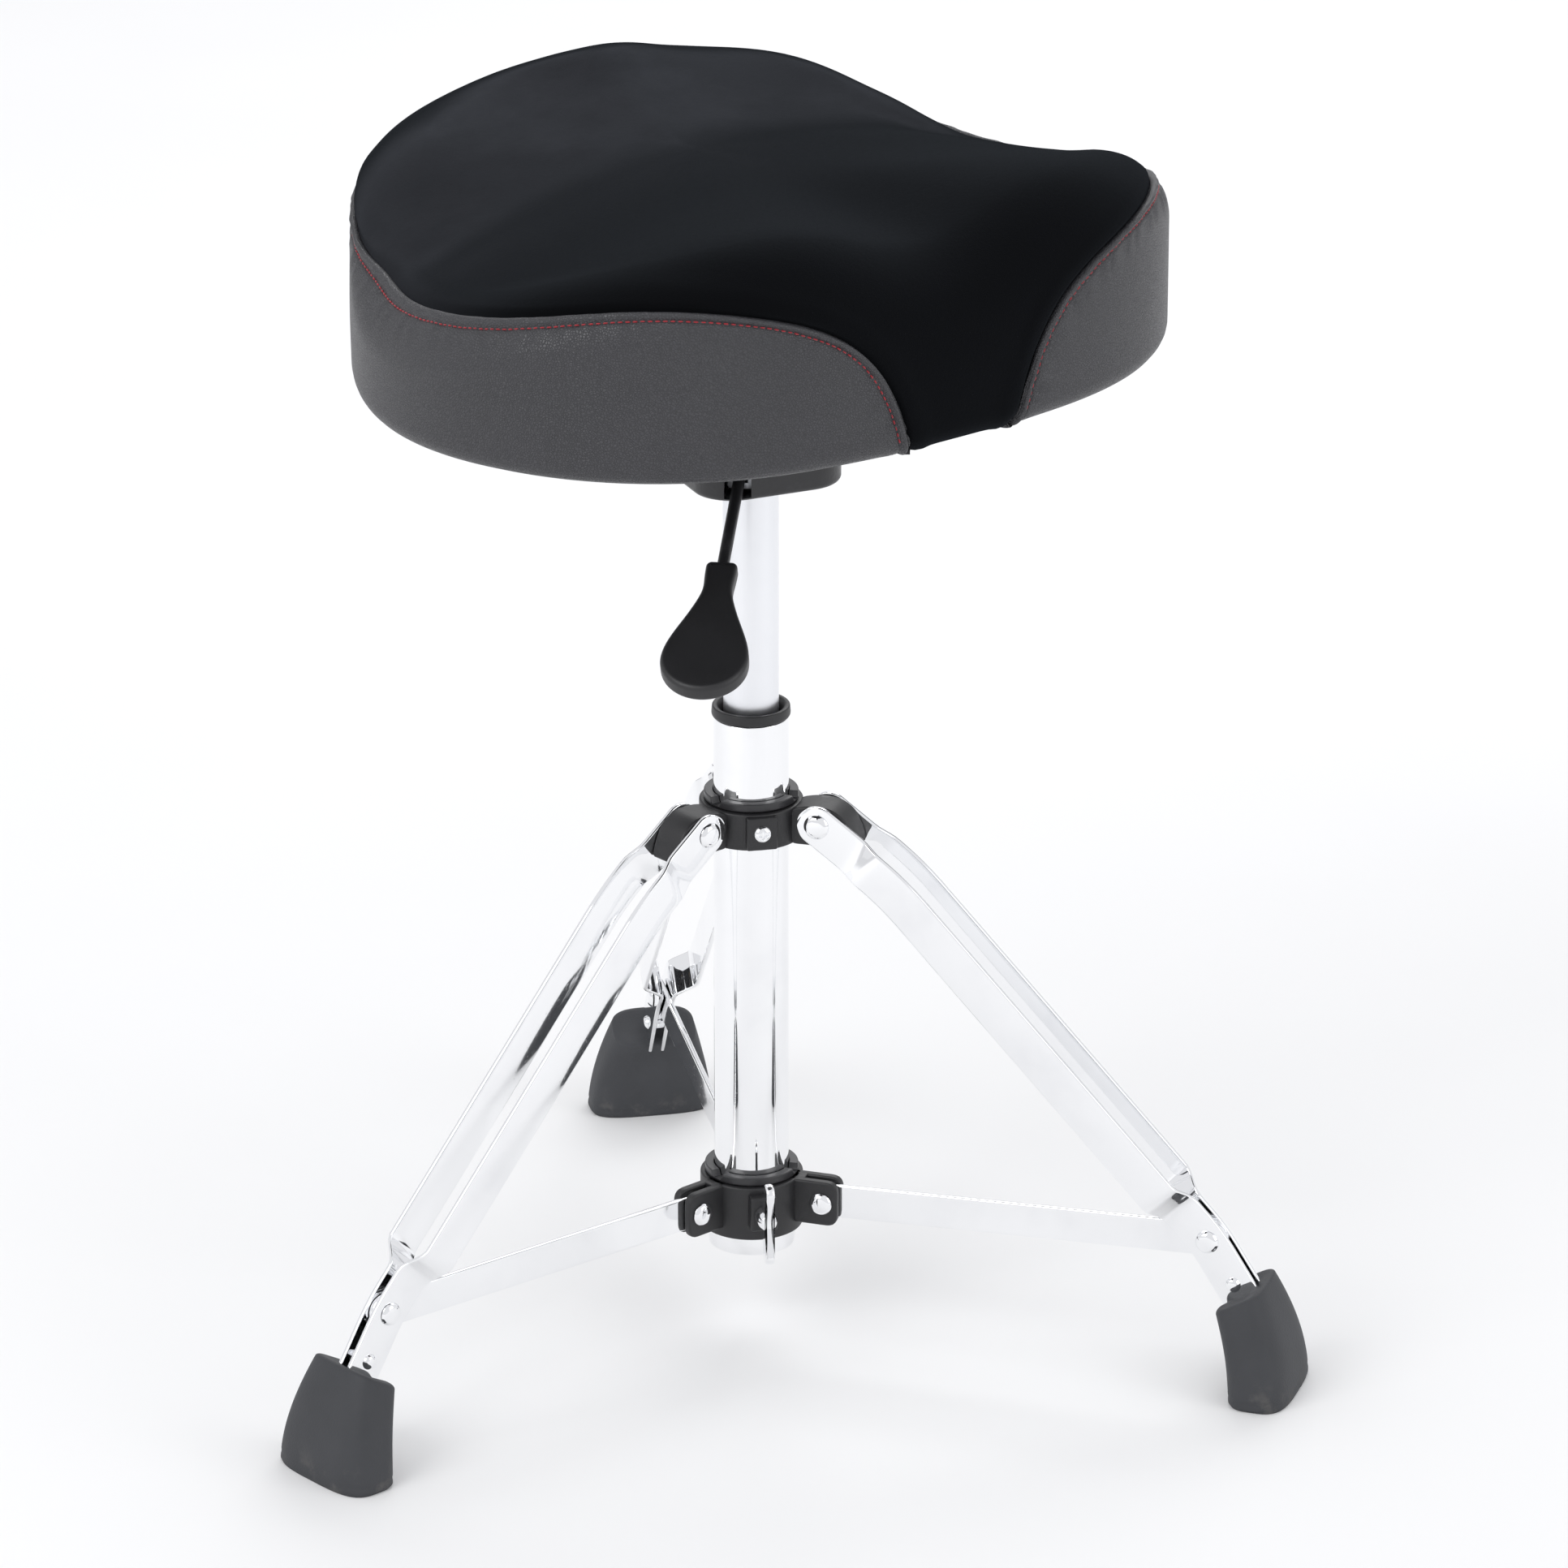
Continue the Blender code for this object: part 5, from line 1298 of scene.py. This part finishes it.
def settled(grid, normals, seam_gap):
    """Each point goes in by SHRINK, then out with the pad: the mean of the pad's moves nearby, weighted
    by exp(-d^2 / 2s^2). Without the simulation, the swelling is LIMIT (1 - exp(-gap / 9 mm))."""
    start = grid - normals * SHRINK
    if PAD is None:
        return start + normals * LIMIT * 0.9 * (1 - np.exp(-seam_gap / 0.009))[..., None]
    spread = 0.0080
    flat = start.reshape(-1, 3).astype(np.float32)
    cloud, moved = PAD
    out = []
    for chunk in np.array_split(flat, max(1, len(flat) // 1500)):
        gap = (chunk ** 2).sum(1)[:, None] + (cloud ** 2).sum(1)[None] - 2 * chunk @ cloud.T
        gap -= gap.min(1, keepdims=True)
        weight = np.exp(-np.maximum(gap, 0) / (2 * spread ** 2))
        out.append(weight @ moved / weight.sum(1, keepdims=True))
    return start + np.concatenate(out).reshape(grid.shape)


# %% [markdown]
# ## The vinyl side panels
# Each panel runs from its hem under the board, up the wall, to the seam. Its upper edge is folded over
# and sewn down, which makes a rolled lip above the stitching and a groove under it. Both are functions of
# the distance from the seam, and every stitch draws the groove in a bit deeper.

# %% Rolled edge and stitched groove
LIP, GROOVE, PITCH = 0.0021, 0.0047, 0.0036


def edge_relief(distance, along):
    """Height over the panel: a rounded lip at LIP, a groove at GROOVE, puckered once for every
    stitch."""
    pucker = 0.5 + 0.5 * np.cos(2 * np.pi * along / PITCH)
    crumple = np.sin(along / 0.0071) * np.sin(along / 0.0113 + 1.3)
    lip = (0.0013 + 0.0003 * crumple) * np.exp(-((distance - LIP) / 0.0015) ** 2)
    groove = (0.0008 + 0.0004 * pucker) * np.exp(-((distance - GROOVE) / 0.0008) ** 2)
    waves = np.cos(2 * np.pi * along / 0.0135 + 2 * crumple)
    pull = 0.00035 * waves * np.exp(-((distance - 0.008) / 0.006) ** 2)
    fold = -0.0030 * (1 - smooth(distance / 0.0011))
    return lip - groove + pull + fold


def panel_rows(top):
    """Heights down a column: close together below the seam, then even to the sole."""
    near = np.array([0, 0.0004, 0.0008, 0.0013, 0.0018, 0.0023, 0.0028, 0.0033, 0.0038, 0.0042, 0.0046,
                     0.0050,
                     0.0055, 0.0062, 0.0072, 0.0086])[:, None]
    rest = np.linspace(0, 1, 30)[1:, None]
    scale = np.minimum(1.0, top / 0.0200)[None, :]
    down = np.concatenate([near * scale, near[-1] * scale + (top[None, :] - near[-1] * scale) * rest])
    return top[None, :] - down


def panel_heights(phi):
    """The heights of a panel's rows, from a hair under the seam down to the rim."""
    return panel_rows(np.maximum(seam_height(phi) - 0.0002, 0.0004))


def hem(phi, rows, deep):
    """The turned-under hem: from the sole's round inwards, with pleats that grow towards the staples."""
    inset = np.linspace(SOLE_ROUND, deep, rows)[:, None]
    grow = smooth((inset - SOLE_ROUND - 0.006) / 0.016)
    along = arc_length(np.abs(phi))[None, :]
    pleat = np.sin(along / 0.0026 + 2.0 * np.sin(along / 0.021))
    return seat_point(phi[None, :] + 0 * inset, inset, (0.0002 + 0.00045 * pleat) * grow)[1:]


def side_panel(name, sign):
    """One panel as a grid: rows from the seam down to the hem's end, columns along the seam."""
    phi = sign * np.clip(TURNS, FRONT_GAP + 0.002, np.pi - 0.001)
    height = panel_heights(phi)
    turn = phi[None, :] + 0 * height
    wall = seat_point(turn, wall_inset(height, rim_height(turn)), height)
    grid = np.concatenate([wall, hem(phi, 12, TURN_UNDER - 0.004)])
    distance, along = seam_distance(turn, height)
    normals = -grid_normals(grid) * sign
    extra = len(grid) - len(wall)
    gap = np.concatenate([distance, np.full((extra, len(phi)), 0.0)])
    relief = np.concatenate([edge_relief(distance, along), np.zeros((extra, len(phi)))])
    made = settled(grid, normals, gap) + normals * relief[..., None]
    made[len(wall):] = grid[len(wall):]
    points, faces = shell(made, around=False)
    if sign > 0:
        faces = [face[::-1] for face in faces]
    panel = piece(name + FINE, "seat", "black_vinyl", points, faces, closed=False, sharp=180)
    return made, normals


def thickness(name, deep):
    """Gives an open cover its thickness, inwards."""
    made = bpy.data.objects[name + FINE].modifiers.new("thickness", "SOLIDIFY")
    made.thickness, made.offset = deep, -1.0


PANELS = {1: side_panel("side_panel_left", 1), -1: side_panel("side_panel_right", -1)}
print("panel grid", PANELS[1][0].shape)

# %% [markdown]
# ## The velour top
# The velour comes out from under the rolled edge, bulges a little over it, rounds the top edge and runs
# smoothly to the middle. At the front it goes on down between the panels as a tongue, and under the
# board. Light and shade are painted into its colour: slopes that face the front left are painted lighter,
# slopes that face away are painted darker, and the back is painted lighter than the front. How light each
# point is painted gets stored in an attribute for the finish.

# %% Velour cover and the tongue's hem
def velour_grid():
    """Rows from the seam to the middle; columns follow both seams, with a few more across the tongue."""
    tongue = np.linspace(-FRONT_GAP, FRONT_GAP, 15)[1:-1]
    phi = np.concatenate([-TURNS[::-1][1:], tongue, TURNS])
    rim = rim_height(phi)
    low = np.maximum(seam_height(phi) - 0.0012, 0.0)
    rows = np.sin(np.pi / 2 * np.linspace(0, 1, 30) ** 1.35)[:, None]
    height = low + (rim - low) * rows
    wall = seat_point(phi[None] + 0 * height, wall_inset(height, rim[None] + 0 * height), height)
    share = np.linspace(1, 0, 24)[1:, None]
    crown = crown_point(phi[None] + 0 * share, share)
    return phi, height, np.concatenate([wall, crown])


def velour():
    """The settled cover. It starts 2 mm deep under the rolled edge and bulges out just above it."""
    phi, height, grid = velour_grid()
    distance = seam_distance(phi[None] + 0 * height, height)[0]
    gap = np.concatenate([distance, np.full((len(grid) - len(height), len(phi)), 0.05)])
    normals = grid_normals(grid, phi)
    normals[-1] = (0, 0, 1)
    tuck = -0.0022 * (1 - smooth(gap / 0.0030)) + 0.0010 * np.exp(-((gap - 0.008) / 0.005) ** 2)
    made = settled(grid, normals, gap) + normals * tuck[..., None]
    made[-1] = made[-1].mean(0)
    return phi, made


TOP_TURNS, TOP = velour()
cover = piece("velour_top" + FINE, "seat", "black_velour", *shell(TOP), closed=False, sharp=180)
# Painted light and shade baked per point into the velour's colour: slopes facing this direction are painted
# lighter, those facing away darker, and the front darker than the back
PAINTED_LIGHT_DIRECTION = np.array((-0.55, -0.83, 0.0))
cover_points, cover_normals = mesh_arrays(cover.data)
phi, radius, _ = seat_local(cover_points)
nap = smooth((cover_normals @ PAINTED_LIGHT_DIRECTION + 0.12) / 0.30) * smooth((0.12 - radius * np.cos(phi)) / 0.24)
cover.data.attributes.new("nap", "FLOAT", "POINT").data.foreach_set("value", nap.astype(np.float32))
print("velour grid", TOP.shape)

# %% The tongue turned under the board
across = np.linspace(-1, 1, 17) * (FRONT_GAP - 0.004)
tongue_hem = hem(across, 14, TURN_UNDER - 0.004)
edge = np.argmin(np.abs(np.subtract.outer(across, TOP_TURNS)), axis=1)
tongue_rows = np.concatenate([(TOP[0][edge] + (0, 0.0006, 0.0006))[None], tongue_hem])
tongue_points, tongue_faces = shell(tongue_rows, around=False)
piece("velour_tongue_hem", "seat", "black_velour", tongue_points, [face[::-1] for face in tongue_faces],
      closed=False)

# %% [markdown]
# ## Stitches
# Red thread runs along the groove. Drawn as a painted dashed line it would look printed, so every stitch
# is a short bent piece of thread: a small six-sided tube that dives into the vinyl at both ends. All
# stitches of one side are one array of points, (stitch, step, turn), and one mesh.

# %% Stitches along both seams
THREAD, STITCH = 0.00042, 0.0029


def stitch_line(sign):
    """The groove's line on the finished panel, with its normals: the panel read where the distance is
    GROOVE."""
    made, normals = PANELS[sign]
    phi = sign * TURNS
    height = panel_heights(phi)
    distance = seam_distance(phi[None] + 0 * height, height)[0]
    row = np.argmin(np.abs(distance[:30] - GROOVE) + np.arange(30)[:, None] * 1e-7, axis=0)
    column = np.arange(len(phi))
    keep = np.abs(distance[row, column] - GROOVE) < 0.0006
    keep[-4:] = True
    return made[row, column][keep], normals[row, column][keep]


def stitches(sign):
    line, normals = stitch_line(sign)
    for _ in range(3):
        line[1:-1] = (line[:-2] + 2 * line[1:-1] + line[2:]) / 4
    length = np.append(0, np.cumsum(np.linalg.norm(np.diff(line, axis=0), axis=1)))
    count = int((length[-1] - 0.004) / PITCH)
    t = np.linspace(-0.5, 0.5, 10)
    taper = np.sin(np.pi * (t + 0.5)) ** 0.3
    s = 0.002 + PITCH * (np.arange(count)[:, None] + 0.5) + STITCH * t[None]
    read = lambda table: np.stack([np.interp(s, length, table[:, k]) for k in range(3)], -1)
    spot, up = read(line), read(normals)
    up /= np.linalg.norm(up, axis=-1, keepdims=True)
    along = np.gradient(spot, axis=1)
    along /= np.linalg.norm(along, axis=-1, keepdims=True)
    beside = np.cross(along, up)
    rise = 0.00030 - 0.0011 * np.abs(2 * t) ** 5
    turn = np.radians(np.arange(6) * 60)
    ring = THREAD * (beside[:, :, None] * np.cos(turn)[:, None] + up[:, :, None] * np.sin(turn)[:, None])
    tubes = (spot + up * rise[None, :, None])[:, :, None] + ring * taper[:, None, None]
    faces = quads(len(t), 6, around=True)
    faces = (faces[None] + (np.arange(count) * len(t) * 6)[:, None, None]).reshape(-1, 4)
    return tubes.reshape(-1, 3), faces.tolist(), count


for sign, letter in ((1, "left"), (-1, "right")):
    points, faces, count = stitches(sign)
    piece("stitching_" + letter, "seat", "red_thread", points, faces)
    print(count, "stitches,", letter)

# %% [markdown]
# ## The underside
# The board carries everything. Its rim shows between the hems, the hems are stapled down, and a dust
# cloth covers the middle. The cloth is one flat sheet with a window for the plate, drawn as rows between
# the window and its outer edge.

# %% Board, dust cloth and staples
board_low, board_high = box("seat_board")
spin = np.linspace(-np.pi, np.pi, 180, endpoint=False)
board_line = seat_point(spin, 0.020, 0.0)[:, :2]
board_middle = (0, 0, (board_low[2] + board_high[2]) / 2)
board_grid = slab(board_line, board_high[2] - board_low[2], 0.0008) + board_middle
piece("seat_board" + FINE, "seat", "plywood", *shell(board_grid, capped=True))


def dust_cloth_grid(deep=0.0335, rows=26):
    """Rows from the window, a rectangle, out to the cloth's edge: the straight mix of both, seen from
    the axis. Between them it sags by sag * sin(pi share), with a few soft ripples."""
    outer = seat_point(spin, deep, 0.0)[:, :2] - AXIS[:2]
    turn = np.arctan2(outer[:, 1], outer[:, 0])
    half = (plate_size[:2] + 0.0012)
    reach = np.minimum(half[0] / np.maximum(np.abs(np.cos(turn)), 1e-6),
                       half[1] / np.maximum(np.abs(np.sin(turn)), 1e-6))
    inner = reach[:, None] * np.stack([np.cos(turn), np.sin(turn)], -1)
    share = np.linspace(0, 1, rows)[:, None, None]
    plan = inner[None] * (1 - share) + outer[None] * share
    ripple = 1 + 0.35 * np.sin(5 * turn + 0.7) + 0.2 * np.sin(13 * turn)
    sag = -0.0008 - 0.0011 * np.sin(np.pi * share[..., 0]) * ripple[None]
    return np.concatenate([plan + AXIS[:2], (SEAT_Z + sag)[..., None]], -1), outer, half


cloth_grid, cloth_outer, cloth_half = dust_cloth_grid()
cloth_points, cloth_faces = shell(cloth_grid)
cloth = piece("dust_cloth" + FINE, "seat", "dust_cloth", cloth_points, cloth_faces, closed=False)
turned_on = np.roll(cloth_outer, -1, 0)
cloth_area = 0.5 * abs(np.sum(cloth_outer[:, 0] * turned_on[:, 1] - cloth_outer[:, 1] * turned_on[:, 0]))
cloth_area -= 4 * cloth_half[0] * cloth_half[1]


def staples(inset, count, phase, low):
    """Wire staples round the seat: each a bar with bent legs, carried along (stitch, step, turn) like a
    thread."""
    phi = np.linspace(-np.pi, np.pi, 1441)
    length = arc_length(phi)
    spots = np.interp(np.linspace(length[0], length[-1], count, endpoint=False) + phase, length, phi)
    centre = seat_point(spots, inset, low)
    ahead = seat_point(spots + 0.01, inset, low) - seat_point(spots - 0.01, inset, low)
    ahead /= np.linalg.norm(ahead, axis=1, keepdims=True)
    beside = np.cross(ahead, (0, 0, 1.0))
    bar = eased([(-0.005, 0.0028), (-0.005, 0.0), (0.005, 0.0), (0.005, 0.0028)], 0.0009, 3)
    path = centre[:, None] + ahead[:, None] * bar[None, :, :1] + (0, 0, 1) * bar[None, :, 1:]
    slope = np.gradient(bar, axis=0)
    slope /= np.linalg.norm(slope, axis=1, keepdims=True)
    up = -ahead[:, None] * slope[None, :, 1:] + np.array((0, 0, 1.0)) * slope[None, :, :1]
    turn = np.radians(np.arange(6) * 60)[:, None]
    ring = 0.00055 * beside[:, None, None] * np.cos(turn) + 0.0003 * up[:, :, None] * np.sin(turn)
    faces = quads(len(bar), 6, around=True)
    faces = (faces[None] + (np.arange(count) * len(bar) * 6)[:, None, None]).reshape(-1, 4)
    ring[:, (0, -1)] *= 0
    return (path[:, :, None] + ring).reshape(-1, 3), faces.tolist()


wire = together(staples(0.0375, 60, 0.006, -0.0012), staples(0.0290, 64, 0.0, -0.0004))
piece("staples", "seat", "staple", *wire)
print("staples:", 60 + 64)

# %% [markdown]
# ## Pieces that stay as they are
# The foam, the piston, the seals and the pins are hidden inside. Their working shapes are good enough, so
# they only get finishes.

# %% Finish what is carried over
thickness("side_panel_left", 0.0013)
thickness("side_panel_right", 0.0013)
thickness("velour_top", 0.0013)
HIDDEN = {"thrust_bearing": "steel", "piston": "steel", "rod_seal": "nylon", "cylinder_socket": "steel",
          "lever_pin": "chrome", "valve_pin": "chrome", "seat_foam": "foam",
          "tee_nut_1": "steel", "tee_nut_2": "steel", "tee_nut_3": "steel", "tee_nut_4": "steel"}
for name, slot in HIDDEN.items():
    mesh = frame["nodes"][name].data
    mesh.materials.clear()
    mesh.materials.append(FINISHES[slot]())
left = sorted(n for n, o in frame["nodes"].items() if not o.hide_render and n not in HIDDEN)
print("nodes still showing undressed:", left)

# %% [markdown]
# ## Floor and light
# Chrome shows its surroundings and nothing else, so the room is what makes it. The room is a pale tent:
# light from everywhere, a large soft panel on each side, and two dark boards behind the throne that only
# reflections can see. Their mirror images are the thin dark lines that give a bright tube its edges.

# %% Floor
floor_mesh = bpy.data.meshes.new("floor")
turn = np.linspace(0, 2 * np.pi, 96, endpoint=False)
disc = np.stack([np.outer((0, 2, 30.0), np.cos(turn)), np.outer((0, 2, 30.0), np.sin(turn)),
                 np.zeros((3, 96))], -1)
points, faces = shell(disc)
floor_mesh.from_pydata(points.tolist(), [], [face[::-1] for face in faces])
floor = bpy.data.objects.new("floor", floor_mesh)
bpy.context.scene.collection.objects.link(floor)
paper = Finish("studio_paper", Specular_IOR_Level=0.15)
paper.wear(Base_Color=paper.colour(paper.noise(3.0, 2), (0.87, 0.87, 0.87), (0.90, 0.90, 0.90)),
           Roughness=0.9)
floor_mesh.materials.append(paper.material)


# %% Lights and boards
def towards(direction, distance, height):
    """A place round the throne: direction in degrees from the camera's side, anticlockwise from
    above."""
    a = np.radians(direction) + np.arctan2(-3.0896, -2.7424)
    return np.array((np.cos(a) * distance + AXIS[0], np.sin(a) * distance, height))


def aimed(thing, place, target=AXIS + (0, 0, 0.35)):
    """Puts a light or a board at a place and points its -Z at the target."""
    look = target - place
    flat = np.hypot(look[0], look[1])
    thing.location = place
    thing.rotation_euler = Euler((np.arctan2(flat, -look[2]), 0, np.arctan2(-look[0], look[1])))
    bpy.context.scene.collection.objects.link(thing)


def panel_light(name, place, size, power):
    data = bpy.data.lights.new(name, "AREA")
    data.shape, data.size, data.size_y, data.energy = "RECTANGLE", size[0], size[1], power
    aimed(bpy.data.objects.new(name, data), place)


panel_light("key_panel", towards(-48, 2.6, 2.2), (1.8, 1.8), 31)
panel_light("fill_panel", towards(62, 3.0, 1.6), (1.6, 2.2), 16)
panel_light("rim_panel", towards(165, 2.6, 2.4), (2.4, 1.2), 26)

board_finish = Finish("dark_board", Roughness=0.9)
board_finish.wear(Base_Color=board_finish.colour(board_finish.noise(4.0), (0.05, 0.05, 0.055),
                                                 (0.08, 0.08, 0.085)))
for side in (1, -1):
    mesh = bpy.data.meshes.new("board")
    mesh.from_pydata([(-0.22, -1.4, 0), (0.22, -1.4, 0), (0.22, 1.4, 0), (-0.22, 1.4, 0)], [],
                     [(0, 1, 2, 3)])
    mesh.materials.append(board_finish.material)
    board = bpy.data.objects.new(f"dark_board_{'left' if side > 0 else 'right'}", mesh)
    aimed(board, towards(side * 148, 2.4, 0.6))
    board.visible_camera = board.visible_shadow = False
    board.visible_diffuse = board.visible_transmission = False

world = bpy.data.worlds.new("tent")
world.use_nodes = True
world.node_tree.nodes["Background"].inputs["Color"].default_value = (0.97, 0.975, 1.0, 1)
world.node_tree.nodes["Background"].inputs["Strength"].default_value = 0.83
bpy.context.scene.world = world
bpy.context.scene.view_settings.view_transform = "Standard"
